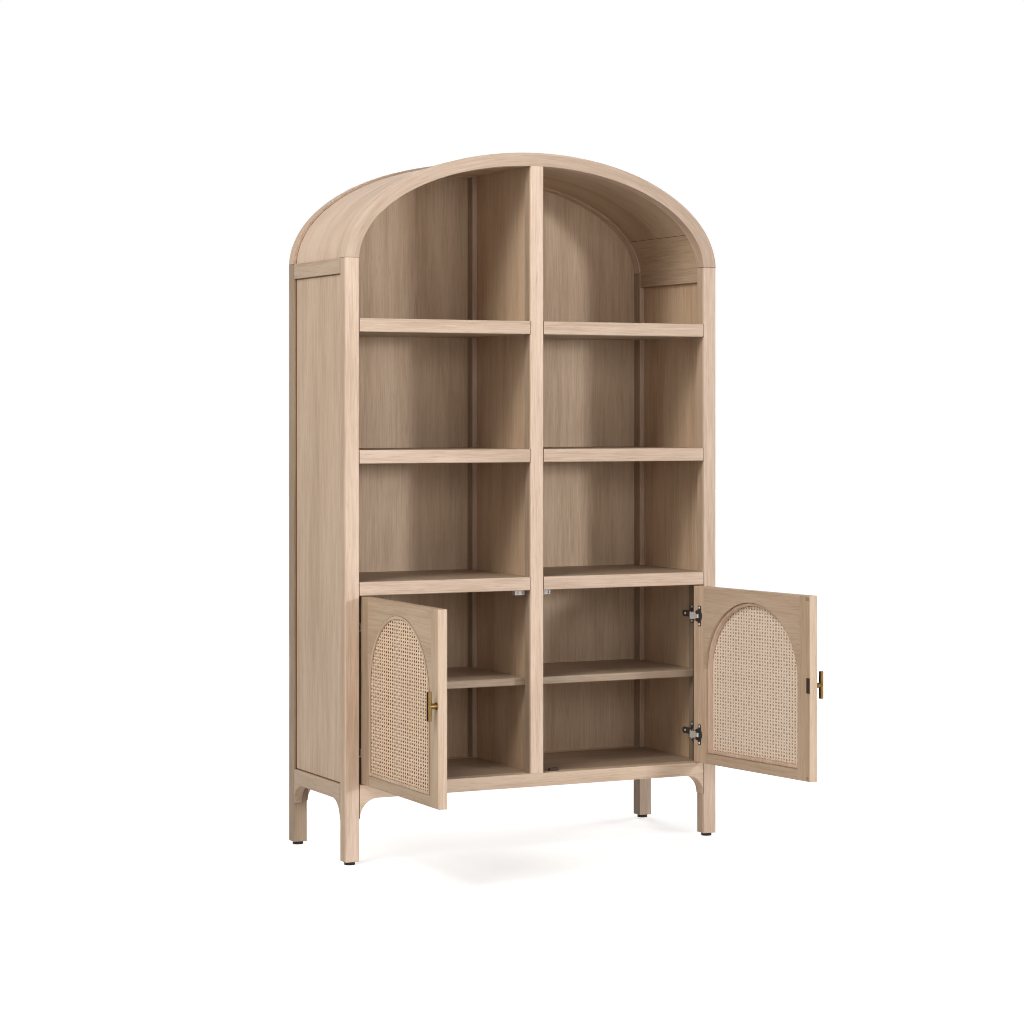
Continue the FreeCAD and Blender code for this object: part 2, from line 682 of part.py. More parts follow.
def carcass():
    """Every piece of the fixed case, by name."""
    pieces = {}
    paired = {
        "front_{}_post": front_post(),
        "rear_{}_post": rear_post(),
        "{}_top_side_rail": top_side_rail(),
        "{}_bottom_side_rail": side_bottom_rail(),
        "{}_side_panel": side_panel(),
        "{}_cupboard_floor": cupboard_floor(),
        "{}_adjustable_shelf": loose_shelf(),
    }
    for step, level in enumerate(("lower", "middle", "upper")):
        paired[level + "_{}_shelf"] = fixed_shelf(LOWER_SHELF_TOP + step * SHELF_PITCH)
    liner = arch_band(SKIN_INNER, LINER_INNER, BEHIND_FRONT, BEFORE_REAR)
    wedge = haunch_cutter()
    paired["{}_haunch_liner"] = liner.common(wedge).Solids[0]
    for name, shape in paired.items():
        pieces[name.format("right")] = shape
        pieces[name.format("left")] = mirrored(shape)
    pieces["arch_crown_liner"] = liner.cut(wedge).cut(mirrored(wedge)).Solids[0]
    pieces["arch_outer_skin"] = arch_band(SKIN_OUTER, SKIN_INNER, BEHIND_FRONT, BEFORE_REAR)
    pieces["front_arch_rail"] = arch_rail(FRONT, BEHIND_FRONT)
    pieces["rear_arch_rail"] = arch_rail(BEFORE_REAR, REAR).cut(back_rebate())
    pieces["front_bottom_rail"] = front_bottom_rail(FRONT)
    pieces["rear_bottom_rail"] = front_bottom_rail(BEFORE_REAR).cut(back_rebate())
    pieces["back_panel"] = back_panel()
    pieces["divider_front_stile"] = divider_stile(FRONT, BEHIND_FRONT)
    pieces["divider_rear_stile"] = divider_stile(BEFORE_REAR, BACK_FACE)
    pieces["divider_panel"] = divider_panel()
    pieces["shelf_pegs"] = shelf_pegs()
    pieces["hinge_battens"] = both_sides([hinge_batten()])
    pieces["hinge_plates"] = both_sides([hinge_plate(height) for height in HINGE_HEIGHTS])
    pieces["hinge_arms"] = both_sides([hinge_arm(height) for height in HINGE_HEIGHTS])
    pieces["magnetic_catches"] = both_sides([magnetic_catch()])
    leg = INSIDE + POST / 2
    depths = (FRONT + POST / 2, REAR - POST / 2)
    pieces["foot_glides"] = both_sides([foot_glide(leg, y) for y in depths])
    return pieces


def doors():
    """Every piece of the two doors at their open angles, by name."""
    shut = {
        "{}_door_hinge_stile": door_hinge_stile(),
        "{}_door_lock_stile": door_stile(FREE_EDGE, 1),
        "{}_door_top_rail": door_top_rail(),
        "{}_door_bottom_rail": door_bottom_rail(),
        "{}_door_beads": door_beads(),
        "{}_door_cane": door_cane(),
        "{}_door_pull": door_pull(),
        "{}_door_pull_plate": door_pull_plate(),
        "{}_door_buttons": door_buttons(),
        "{}_hinge_cups": Part.Compound([hinge_cup(height) for height in HINGE_HEIGHTS]),
    }
    links = Part.Compound([hinge_link(height) for height in HINGE_HEIGHTS])
    pieces = {}
    for side, word in ((1, "right"), (-1, "left")):
        for name, shape in shut.items():
            pieces[name.format(word)] = swung(shape, side)
        pieces[word + "_hinge_links"] = carried_link(links, side)
    return pieces


os.makedirs("parts", exist_ok=True)
everything = {**carcass(), **doors()}
for node, piece in everything.items():
    if not piece.isValid():
        raise ValueError(node + " is not a valid solid")
    piece.exportStep(os.path.join("parts", node + ".step"))
print(len(everything), "nodes,", sum(len(piece.Solids) for piece in everything.values()), "solids")
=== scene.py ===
# %% [markdown]
# # An arched oak bookcase with cane doors
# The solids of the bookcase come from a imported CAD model. This lesson dresses them: pale oak with the grain
# laid the right way on every board, woven cane in the doors, brass pulls, dark hinges, screws, then a floor,
# soft lights and a camera. Everything is in metres, with +Z up and +Y to the back.

# %% Load the frame
import json
from math import cos, degrees, pi, radians, sin, sqrt

import bmesh
import bpy
from mathutils import Matrix, Vector


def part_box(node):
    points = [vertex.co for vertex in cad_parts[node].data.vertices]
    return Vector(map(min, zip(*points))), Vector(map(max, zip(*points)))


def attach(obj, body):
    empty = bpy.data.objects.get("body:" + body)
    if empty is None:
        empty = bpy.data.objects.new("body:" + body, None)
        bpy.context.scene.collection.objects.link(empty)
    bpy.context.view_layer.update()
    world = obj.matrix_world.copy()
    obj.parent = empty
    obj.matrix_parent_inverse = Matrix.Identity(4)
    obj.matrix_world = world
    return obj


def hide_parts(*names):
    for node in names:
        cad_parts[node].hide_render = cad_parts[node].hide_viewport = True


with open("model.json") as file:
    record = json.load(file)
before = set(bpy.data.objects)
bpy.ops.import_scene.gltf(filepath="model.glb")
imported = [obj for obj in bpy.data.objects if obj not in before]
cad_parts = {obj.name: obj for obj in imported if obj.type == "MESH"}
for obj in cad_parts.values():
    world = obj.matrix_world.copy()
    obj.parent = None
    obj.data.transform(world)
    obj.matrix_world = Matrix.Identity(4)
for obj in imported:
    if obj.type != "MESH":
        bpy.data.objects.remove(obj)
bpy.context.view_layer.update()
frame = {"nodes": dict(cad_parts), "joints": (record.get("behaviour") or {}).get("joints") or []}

boards = frame["nodes"]
# The two sides of the case, with the sign that x has there
SIDES = {"left": -1, "right": 1}

# %% [markdown]
# ## Small helpers for materials
# A material in Blender is a graph of nodes. It can be clicked together in the shader editor, or typed with
# three lines for every node, but then the idea of a finish drowns in wiring. Short helpers do the wiring
# here, so a finish reads as a recipe: some noise, some arithmetic, a ramp of colours, a little relief.

# %% Start a finish and join its nodes
def new_finish(name):
    """A material whose graph holds one Principled shader and an output."""
    finish = bpy.data.materials.new(name)
    finish.use_nodes = True
    return finish


def shader_of(finish):
    """The Principled shader of a finish."""
    return finish.node_tree.nodes["Principled BSDF"]


def add(finish, kind, **settings):
    """Add a node and set its properties."""
    node = finish.node_tree.nodes.new(kind)
    for name, value in settings.items():
        setattr(node, name, value)
    return node


def join(finish, start, end):
    """Join an output to an input."""
    finish.node_tree.links.new(start, end)


def feed(finish, socket, value):
    """Give a socket a number, a colour or another node's output."""
    if isinstance(value, bpy.types.NodeSocket):
        join(finish, value, socket)
    else:
        socket.default_value = value


print("helpers for wiring ready")

# %% Arithmetic and colour
def calc(finish, operation, *values):
    """One step of arithmetic on numbers or outputs."""
    node = add(finish, "ShaderNodeMath", operation=operation)
    for socket, value in zip(node.inputs, values):
        feed(finish, socket, value)
    return node.outputs[0]


def remap(finish, value, low, high, to_low=0.0, to_high=1.0):
    """Stretch the part of a value between two limits over a new range."""
    node = add(finish, "ShaderNodeMapRange")
    for socket, number in zip(node.inputs, (value, low, high, to_low, to_high)):
        feed(finish, socket, number)
    return node.outputs[0]


def tint(finish, mode, amount, under, over):
    """Blend one colour over another."""
    node = add(finish, "ShaderNodeMix", data_type="RGBA", blend_type=mode)
    feed(finish, node.inputs["Factor"], amount)
    feed(finish, node.inputs["A"], under)
    feed(finish, node.inputs["B"], over)
    return node.outputs["Result"]


def ramp(finish, value, stops):
    """Turn a value into a colour through a list of (position, colour)."""
    node = add(finish, "ShaderNodeValToRGB")
    band = node.color_ramp
    while len(band.elements) < len(stops):
        band.elements.new(0.5)
    for element, (position, colour) in zip(band.elements, stops):
        element.position = position
        element.color = (*colour, 1.0)
    join(finish, value, node.inputs["Fac"])
    return node.outputs["Color"]


print("helpers for arithmetic and colour ready")

# %% Noise and relief
BEVEL_SAMPLES = 4


def speckle(finish, place, stretch, detail=3.0, roughness=0.55, distortion=0.0):
    """Noise on coordinates that are stretched by three factors first."""
    mapping = add(finish, "ShaderNodeMapping", vector_type="POINT")
    join(finish, place, mapping.inputs["Vector"])
    mapping.inputs["Scale"].default_value = stretch
    noise = add(finish, "ShaderNodeTexNoise", noise_dimensions="3D")
    join(finish, mapping.outputs["Vector"], noise.inputs["Vector"])
    noise.inputs["Scale"].default_value = 1.0
    noise.inputs["Detail"].default_value = detail
    noise.inputs["Roughness"].default_value = roughness
    noise.inputs["Distortion"].default_value = distortion
    return noise.outputs["Fac"]


def relief(finish, height, strength, depth, soft_edge=0.0):
    """Let a height texture bend the light on the shader, over edges that are rounded if asked."""
    bump = add(finish, "ShaderNodeBump")
    bump.inputs["Strength"].default_value = strength
    bump.inputs["Distance"].default_value = depth
    join(finish, height, bump.inputs["Height"])
    if soft_edge:
        rounding = add(finish, "ShaderNodeBevel", samples=BEVEL_SAMPLES)
        rounding.inputs["Radius"].default_value = soft_edge
        join(finish, rounding.outputs["Normal"], bump.inputs["Normal"])
    join(finish, bump.outputs["Normal"], shader_of(finish).inputs["Normal"])


print("helpers for noise and relief ready")

# %% [markdown]
# ## Which way the grain runs
# Wood is strongest along its fibres, so a joiner lays the grain along a post, along a rail and round an arch.
# An image texture would need unwrapped faces for that. Here the texture reads the piece's own coordinates
# instead, and a small graph turns them into (along the grain, across it, through it). On the arch the first
# of these is an angle about the arch's centre, and on a door they are first turned back to where the shut
# door has them. A random number per piece moves each board to another part of the tree, so no two boards
# show the same figure.

# %% Grain round the arch
ARCH_RISE = 0.317
# Lengths that turn an angle, and a share of the arch's radius, into metres of wood
ROUND_THE_ARCH, ACROSS_THE_ARCH = 0.46, 0.45

arch_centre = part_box("front_arch_rail")[1].z - ARCH_RISE
arch_half_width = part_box("front_right_post")[1].x


def bent_grain(finish, x, y, z):
    """Lengths along, across and through the grain of a board that follows the arch."""
    out = calc(finish, "DIVIDE", x, arch_half_width)
    up = calc(finish, "DIVIDE", calc(finish, "SUBTRACT", z, arch_centre), ARCH_RISE)
    angle = calc(finish, "ARCTAN2", up, out)
    squares = calc(finish, "ADD", calc(finish, "POWER", out, 2.0), calc(finish, "POWER", up, 2.0))
    along = calc(finish, "MULTIPLY", angle, ROUND_THE_ARCH)
    across = calc(finish, "MULTIPLY", calc(finish, "SQRT", squares), ACROSS_THE_ARCH)
    return along, across, y


print("arch centre at", round(arch_centre, 3), "m, half width", round(arch_half_width, 3), "m")

# %% Grain of any board
TREE_LENGTH = 19.0


def hinge_of(side):
    """The joint that a door swings on."""
    return next(joint for joint in frame["joints"] if joint["name"] == side + "_door_hinge")


def door_swing(side):
    """The turn from a shut door to where it stands at rest, in radians, read from its hinge's range."""
    return SIDES[side] * radians(-hinge_of(side)["range_deg"][0])


def grain_place(finish, grain):
    """Coordinates whose first number runs along the grain, and the plain axes by name."""
    place = add(finish, "ShaderNodeTexCoord").outputs["Object"]
    if grain.endswith("door"):
        turn = add(finish, "ShaderNodeVectorRotate", rotation_type="Z_AXIS")
        join(finish, place, turn.inputs["Vector"])
        turn.inputs["Angle"].default_value = -door_swing(grain.split()[0])
        place = turn.outputs["Vector"]
    split = add(finish, "ShaderNodeSeparateXYZ")
    join(finish, place, split.inputs["Vector"])
    x, y, z = split.outputs
    if grain == "arch":
        order = bent_grain(finish, x, y, z)
    else:
        order = {"up": (z, x, y), "deep": (y, x, z)}.get(grain, (x, y, z))
    merge = add(finish, "ShaderNodeCombineXYZ")
    chance = calc(finish, "MULTIPLY", add(finish, "ShaderNodeObjectInfo").outputs["Random"], TREE_LENGTH)
    for socket, value in zip(merge.inputs, order):
        join(finish, calc(finish, "ADD", value, chance), socket)
    return merge.outputs["Vector"], {"x": x, "y": y, "z": z}


print("doors stand open", [round(degrees(abs(door_swing(side))), 1) for side in SIDES], "degrees")

# %% [markdown]
# ## Whitewashed oak
# The boards are pale oak with a thin white wash under a matt lacquer. Close up there are slow changes of tone
# over a hand's width, soft streaks, long straight fibres and short dark pores. A picture of oak wrapped round
# each board would repeat and show its edges. Here each of the four is one noise texture, stretched along the
# grain by its own amount. Three of them add up to a value that a ramp turns into a colour, and the pores
# darken it. A finish takes a tone that makes a whole board lighter or darker, and a cast that leans it to
# brown or to grey. Part of that is real difference between boards and part is painted light and shade: boards
# in shade are darker and browner, faces towards the lamps lighter and greyer.

# %% Oak grain
OAK_SHADES = (
    (0.40, (0.575, 0.418, 0.298)), (0.50, (0.665, 0.500, 0.372)), (0.60, (0.740, 0.572, 0.438)),
)
DRIFT, DRIFT_SHARE = (1.1, 9.0, 9.0), 0.50
STREAKS, STREAK_SHARE = (3.0, 62.0, 62.0), 0.24
FIBRES, FIBRE_SHARE = (9.0, 240.0, 240.0), 0.40
PORES, PORE_SHARE = (20.0, 640.0, 640.0), 0.50
PORE_START, PORE_FULL = 0.57, 0.70
PORE = (0.70, 0.60, 0.52, 1.0)
PLAIN = (1.0, 1.0, 1.0)
# Casts of painted light and shade: browner for boards in shade, greyer for faces towards the lamps
SHADED_CAST = (1.0, 0.985, 0.93)
LIT_CAST = (1.0, 1.01, 1.06)


def oak_grain(finish, place, tone, cast):
    """The colour of a board, and the fibres and pores on it."""
    drift = speckle(finish, place, DRIFT, distortion=0.6)
    streaks = speckle(finish, place, STREAKS, distortion=0.8)
    fibres = speckle(finish, place, FIBRES, detail=4.0, roughness=0.6)
    pores = remap(finish, speckle(finish, place, PORES, detail=2.0), PORE_START, PORE_FULL)
    # A noise is one half on the whole, and the sum stays so when what the shares have over one comes off
    surplus = (DRIFT_SHARE + STREAK_SHARE + FIBRE_SHARE - 1.0) / 2
    value = calc(finish, "MULTIPLY_ADD", drift, DRIFT_SHARE, calc(finish, "MULTIPLY", streaks, STREAK_SHARE))
    value = calc(finish, "MULTIPLY_ADD", fibres, FIBRE_SHARE, calc(finish, "SUBTRACT", value, surplus))
    shades = [(stop, [tone * part * lean for part, lean in zip(shade, cast)]) for stop, shade in OAK_SHADES]
    colour = ramp(finish, value, shades)
    colour = tint(finish, "MULTIPLY", calc(finish, "MULTIPLY", pores, PORE_SHARE), colour, PORE)
    return colour, fibres, pores


print("oak has", len(OAK_SHADES), "shades")

# %% [markdown]
# ## Joints, painted shadows and painted light
# Where two boards meet, a fine dark line shows, and in the corner between a post and a panel lies a thin
# shadow. A modelled gap would change the solids, so the finish draws both: the joints as dark lines, the
# shadows as painted shadow. It compares one coordinate with the place of the joint, which comes from a
# neighbour's box. On the faces that meet the lamps the finish paints light: it lightens all that lies in
# front of a given depth. The small mouldings carry their dark seams, with painted shade in the grooves, on
# the mesh, as a number at each point. Each finish is kept with the endings of the names of the pieces that
# wear it.

# %% Oak
JOINT_AND_SHADE = (0.27, 0.19, 0.13, 1.0)
SOFT_EDGE = 0.002
NOISE_LOW, NOISE_HIGH = 0.3, 0.7
OAK_ROUGH, OAK_SMOOTH = 0.62, 0.50
OAK_GLOSS = 0.32
OAK_RELIEF, OAK_RELIEF_DEPTH = 0.22, 0.0005

wearers = {}


def oak(name, grain, tone, lines=(), painted_front_light=None, seams_and_shade=False, cast=PLAIN, fits=None):
    """A board's finish: dark joints, painted shadows, painted light in front, and mesh seams if asked."""
    finish = new_finish("oak_" + name)
    place, axes = grain_place(finish, grain)
    colour, fibres, pores = oak_grain(finish, place, tone, cast)
    # Lines: dark joints, and painted shadows in the corners beside posts and rails
    for axis, middle, half_width, outside in lines:
        line = calc(finish, "COMPARE", axes[axis], middle, half_width)
        seen = calc(finish, "GREATER_THAN", calc(finish, "ABSOLUTE", axes["x"]), outside)
        colour = tint(finish, "MULTIPLY", calc(finish, "MULTIPLY", line, seen), colour, JOINT_AND_SHADE)
    # Painted light: all in front of a depth is lighter and greyer, on the faces that meet the lamps
    if painted_front_light:
        depth, strength = painted_front_light
        front = calc(finish, "LESS_THAN", axes["y"], depth)
        colour = tint(finish, "MULTIPLY", front, colour, [strength * part for part in LIT_CAST] + [1.0])
    # The mesh's seams: dark joints, with painted shade in the grooves beside the beads
    if seams_and_shade:
        seam_and_shade = add(finish, "ShaderNodeAttribute", attribute_name="seam_and_shade").outputs["Fac"]
        colour = tint(finish, "MULTIPLY", seam_and_shade, colour, JOINT_AND_SHADE)
    shader = shader_of(finish)
    join(finish, colour, shader.inputs["Base Color"])
    rough = remap(finish, fibres, NOISE_LOW, NOISE_HIGH, OAK_ROUGH, OAK_SMOOTH)
    join(finish, rough, shader.inputs["Roughness"])
    shader.inputs["Specular IOR Level"].default_value = OAK_GLOSS
    relief(finish, calc(finish, "SUBTRACT", fibres, pores), OAK_RELIEF, OAK_RELIEF_DEPTH, SOFT_EDGE)
    wearers.update(dict.fromkeys(fits or [name], finish))


print("oak shines at", OAK_GLOSS)

# %% Places of the joints
SEAM = 0.0014
END_GAP, SHELF_GAP = 0.0018, 0.0016
HAIR = 0.0002
SHADOW, DEEP_SHADOW = 0.004, 0.007
OUTER_FACE = 0.57
HAUNCH_SEAM, HAUNCH_GAP = 1.7545, 0.0020
LIT_FRONT_DEPTH, THIN_LIT_FRONT_DEPTH, DOOR_LIT_EDGE_DEPTH = 0.0080, 0.0010, 0.0045

post_low, post_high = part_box("front_right_post")
rear_post_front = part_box("rear_right_post")[0].y
stile_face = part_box("divider_front_stile")[1].x


def joint_line(axis, edge, width, toward=0, outside=0.0):
    """A line on or beside an edge: its axis, middle and half width, and how far out it starts to show."""
    return axis, edge + toward * width / 2, width / 2, outside


springing_seam = joint_line("z", post_high.z, SEAM)
haunch_seam = joint_line("z", HAUNCH_SEAM, HAUNCH_GAP)
# Painted shadows: in the corner by the rear arch rail, and round each side panel
skin_shadow = joint_line("y", rear_post_front, SHADOW, -1)
panel_shadows = [
    joint_line("z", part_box("left_top_side_rail")[0].z, SHADOW, -1, OUTER_FACE),
    joint_line("y", rear_post_front, DEEP_SHADOW, -1, OUTER_FACE),
    joint_line("y", post_high.y, SHADOW, 1, OUTER_FACE),
    joint_line("z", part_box("left_bottom_side_rail")[1].z, SHADOW, 1, OUTER_FACE),
]
side_rail_ends = [joint_line("y", post_high.y, END_GAP, 1), joint_line("y", rear_post_front, END_GAP, -1)]
rail_ends, shelf_ends = [], []
for sign in SIDES.values():
    rail_ends.append(joint_line("x", sign * post_low.x, END_GAP, -sign))
    shelf_ends.append(joint_line("x", sign * (post_low.x + HAIR), SHELF_GAP, -sign))
    shelf_ends.append(joint_line("x", sign * (stile_face - HAIR), SHELF_GAP, sign))
# Depths in front of which light is painted: the case's fronts, the rear posts' fronts and the doors' edges
case_front = post_low.y + LIT_FRONT_DEPTH
rear_front = rear_post_front + THIN_LIT_FRONT_DEPTH
left_edge, right_edge = (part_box(side + "_door_lock_stile")[0].y + DOOR_LIT_EDGE_DEPTH for side in SIDES)
print("lit_fronts end at", round(case_front, 4), "and", round(rear_front, 4), "m")

# %% Oak for each kind of board
# Tones are partly the boards' own, partly painted light on lit faces and painted shade inside the case
oak("front_left_post", "up", 0.84, [springing_seam], (case_front, 1.39))
oak("front_right_post", "up", 0.82, [springing_seam], (case_front, 1.32))
oak("rear_left_post", "up", 0.55, [springing_seam], cast=SHADED_CAST)
oak("rear_right_post", "up", 0.62, [springing_seam], (rear_front, 1.55))
oak("front_stile", "up", 0.58, painted_front_light=(case_front, 2.08))
oak("rear_stile", "up", 0.52, painted_front_light=(rear_front, 1.75))
# The battens' low tone is painted shade: they show in the dark gaps beside the doors' hinge stiles
oak("hinge_battens", "up", 0.42)
oak("left_side_panel", "up", 0.88, panel_shadows)
oak("right_side_panel", "up", 0.89, panel_shadows, cast=SHADED_CAST)
oak("back_panel", "up", 0.92, cast=SHADED_CAST)
oak("divider_panel", "up", 0.80, cast=SHADED_CAST)
oak("rail", "along", 1.06, rail_ends)
oak("shelf", "along", 0.63, shelf_ends, (case_front, 1.70))
oak("cupboard_shelf", "along", 0.64, fits=["adjustable_shelf", "cupboard_floor"])
oak("side_rail", "deep", 0.77, side_rail_ends)
oak("arch_rail", "arch", 0.96, [springing_seam], cast=LIT_CAST)
oak("outer_skin", "arch", 1.00, [skin_shadow], cast=LIT_CAST)
oak("crown_liner", "arch", 0.76, cast=SHADED_CAST)
oak("haunch_liner", "deep", 0.76, [haunch_seam], cast=SHADED_CAST)
oak("left_door_rail", "left door", 0.76, cast=SHADED_CAST, fits=["left_door_top_rail", "left_door_bottom_rail"])
oak("right_door_rail", "right door", 0.87, fits=["right_door_top_rail", "right_door_bottom_rail"])
oak("left_door_hinge_stile", "up", 0.65, cast=SHADED_CAST)
oak("left_door_lock_stile", "up", 0.80, painted_front_light=(left_edge, 1.40), cast=SHADED_CAST)
oak("right_door_hinge_stile", "up", 1.04)
oak("right_door_lock_stile", "up", 0.79, painted_front_light=(right_edge, 1.53), cast=SHADED_CAST)
oak("left_bead", "up", 0.95, seams_and_shade=True, fits=["left_door_beads", "door_cane"])
oak("right_door_beads", "up", 1.09, seams_and_shade=True, cast=LIT_CAST)
print("oak fits", len(wearers), "endings")

# %% [markdown]
# ## Metal and plastic
# The pulls are brass that was darkened and brushed, with painted shade and a painted dark reflection on the
# side that faces left. The hinges are blackened steel, their links, the pegs and the screws bright steel. The
# plate behind a pull is dark bronze, the strike and bumper on a door's back are brown, the catches grey
# plastic and the feet black. One plain colour would look like paint, so all share one recipe: two colours
# mixed by a fine noise for the brushed or moulded surface and a cloudy one for wear, and a roughness that
# goes with them.

# %% Metal and plastic finishes
CLOUDS = (60.0, 60.0, 60.0)
FINE_SHARE, CLOUD_SHARE = 0.6, 0.4
DARK_STOP, LIGHT_STOP = 0.35, 0.65
ROUGH_SPREAD = 0.07
FINE_RELIEF, FINE_DEPTH = 0.08, 0.0002


def worked(name, dark, light, metal, rough, stretch, fits=()):
    """A finish whose colour and roughness vary with a fine noise and a cloudy one."""
    finish = new_finish(name)
    place = add(finish, "ShaderNodeTexCoord").outputs["Object"]
    fine = speckle(finish, place, stretch, detail=4.0, roughness=0.6)
    cloudy = speckle(finish, place, CLOUDS, detail=2.0)
    mixed = calc(finish, "MULTIPLY_ADD", fine, FINE_SHARE, calc(finish, "MULTIPLY", cloudy, CLOUD_SHARE))
    shader = shader_of(finish)
    join(finish, ramp(finish, mixed, [(DARK_STOP, dark), (LIGHT_STOP, light)]), shader.inputs["Base Color"])
    dull = remap(finish, mixed, NOISE_LOW, NOISE_HIGH, rough + ROUGH_SPREAD, rough - ROUGH_SPREAD)
    join(finish, dull, shader.inputs["Roughness"])
    shader.inputs["Metallic"].default_value = metal
    relief(finish, fine, FINE_RELIEF, FINE_DEPTH)
    wearers.update(dict.fromkeys(fits, finish))
    return finish


brass = worked("antique_brass", (0.130, 0.076, 0.024), (0.250, 0.155, 0.055), metal=1.0, rough=0.36,
               stretch=(900.0, 900.0, 60.0), fits=["door_pull"])
worked("dark_bronze", (0.040, 0.028, 0.022), (0.075, 0.055, 0.043), metal=0.5, rough=0.50,
       stretch=(700.0, 700.0, 90.0), fits=["pull_plate"])
worked("button_brown", (0.30, 0.205, 0.135), (0.42, 0.300, 0.205), metal=0.0, rough=0.55,
       stretch=(800.0, 800.0, 800.0), fits=["door_buttons"])
worked("blackened_steel", (0.045, 0.045, 0.047), (0.120, 0.120, 0.124), metal=0.6, rough=0.36,
       stretch=(500.0, 500.0, 500.0), fits=["hinge_cups", "hinge_plates", "hinge_arms"])
bright_steel = worked("bright_steel", (0.62, 0.60, 0.58), (0.82, 0.80, 0.77), metal=0.35, rough=0.32,
                      stretch=(900.0, 900.0, 70.0), fits=["hinge_links", "shelf_pegs"])
worked("catch_plastic", (0.48, 0.465, 0.45), (0.60, 0.585, 0.565), metal=0.0, rough=0.45,
       stretch=(800.0, 800.0, 800.0), fits=["magnetic_catches"])
worked("foot_plastic", (0.006, 0.006, 0.006), (0.014, 0.014, 0.013), metal=0.0, rough=0.75,
       stretch=(700.0, 700.0, 700.0), fits=["foot_glides"])
print("oak, metal and plastic fit", len(wearers), "endings")

# %% Painted shade on the left of the brass
LEFT_SIDE_SHADE = (0.10, 0.09, 0.08, 1.0)
LEFT_SHADE_START, LEFT_SHADE_FULL = -0.66, -0.80
LIT_SIDE_ROUGH, SHADED_SIDE_ROUGH = 0.36, 0.65


def paint_left_shade(finish):
    """Darken the side that faces left: painted shade and a painted dark reflection."""
    shader = shader_of(finish)
    unshaded_brass = shader.inputs["Base Color"].links[0].from_socket
    way = add(finish, "ShaderNodeSeparateXYZ")
    join(finish, add(finish, "ShaderNodeTexCoord").outputs["Normal"], way.inputs["Vector"])
    turned = remap(finish, way.outputs["X"], LEFT_SHADE_START, LEFT_SHADE_FULL)
    join(finish, tint(finish, "MULTIPLY", turned, unshaded_brass, LEFT_SIDE_SHADE), shader.inputs["Base Color"])
    join(finish, remap(finish, turned, 0.0, 1.0, LIT_SIDE_ROUGH, SHADED_SIDE_ROUGH), shader.inputs["Roughness"])


paint_left_shade(brass)
print("patina on", brass.name)

# %% [markdown]
# ## Dress the boards and fittings
# Every solid gets a finish. Each could be dressed by hand in the editor, one click after another, but the
# names already say what a piece is. Several endings can fit a name, such as a rail's and an arch rail's, and
# then the longest says most about the piece.

# %% Give each solid its finish
def finish_for(name):
    """The finish of the longest ending that fits a piece's name."""
    return wearers[max((ending for ending in wearers if name.endswith(ending)), key=len)]


for name, board in boards.items():
    for slot in board.material_slots:
        slot.material = finish_for(name)
print("dressed", len(boards), "solids")

# %% [markdown]
# ## A door's own frame
# The two doors are mirror images that stand open at different angles. It is easier to build cane and beads
# for a shut door, where the window is square to the axes, and then turn them to the open place. The
# matrix below does that turn, and its inverse lets us measure the window on the solids.

# %% Door frames
def door_turn(side):
    """The matrix that carries a shut door to where it stands at rest."""
    pivot = Vector(hinge_of(side)["pos_m"])
    turn = Matrix.Rotation(door_swing(side), 4, "Z")
    return Matrix.Translation(pivot) @ turn @ Matrix.Translation(-pivot)


def shut_box(side, ending):
    """Lowest and highest corner of a door's solid as it is when shut."""
    back = door_turn(side).inverted()
    points = [back @ vertex.co for vertex in boards[side + ending].data.vertices]
    low = Vector(min(point[i] for point in points) for i in range(3))
    high = Vector(max(point[i] for point in points) for i in range(3))
    return low, high


for side in SIDES:
    low, high = shut_box(side, "_door_cane")
    print(side, "window", [round(1000 * n, 1) for n in (*low, *high)], "mm")

# %% [markdown]
# ## Meshes from loops
# Most new pieces here are strips or rings: a row of loops with the same number of points, joined by
# four-sided faces. Modifiers could sweep or spin such shapes, but plain points are easy to measure and to
# number. One helper makes the mesh, so the pieces only have to say where their loops are.

# %% Mesh helpers
SHARP = radians(30.0)


def placed(name, data):
    """A new object in the scene."""
    made = bpy.data.objects.new(name, data)
    bpy.context.scene.collection.objects.link(made)
    return made


def piece_from(name, points, faces, finish, smooth=True):
    """A mesh object from points and faces, with one finish."""
    mesh = bpy.data.meshes.new(name)
    mesh.from_pydata([tuple(point) for point in points], [], faces)
    mesh.validate()
    mesh.materials.append(finish)
    mesh.polygons.foreach_set("use_smooth", [smooth] * len(mesh.polygons))
    return placed(name, mesh)


def skin_loops(points, faces, loops, closed=False):
    """Add loops of points and the faces between each loop and the next, back to the first if closed."""
    size = len(loops[0])
    first = len(points)
    for loop in loops:
        points.extend(loop)
    rows = len(loops) if closed else len(loops) - 1
    for row in range(rows):
        here = first + row * size
        after = first + ((row + 1) % len(loops)) * size
        for step in range(size):
            following = (step + 1) % size
            faces.append((here + step, here + following, after + following, after + step))


def keep_edges(made):
    """Shade a mesh smooth except where it turns sharply."""
    tool = bmesh.new()
    tool.from_mesh(made.data)
    for edge in tool.edges:
        edge.smooth = edge.calc_face_angle(0.0) < SHARP
    tool.to_mesh(made.data)
    tool.free()


print("mesh helpers ready")

# %% [markdown]
# ## Cane, seen close
# Cane is the skin of the rattan palm, split into thin flat strands. The skin side is straw-coloured, a little
# glossy, and faces the front; the pith side is paler and faces the back. The rims that look into a hole
# lie in shade, so the finish paints shade on them: dark brown in front and lighter behind. A picture of cane
# would repeat and stay flat. This finish reads three numbers that the mesh keeps at its points: one for each
# strand's own tone, one for the rims' painted shade, and one for the pith side.

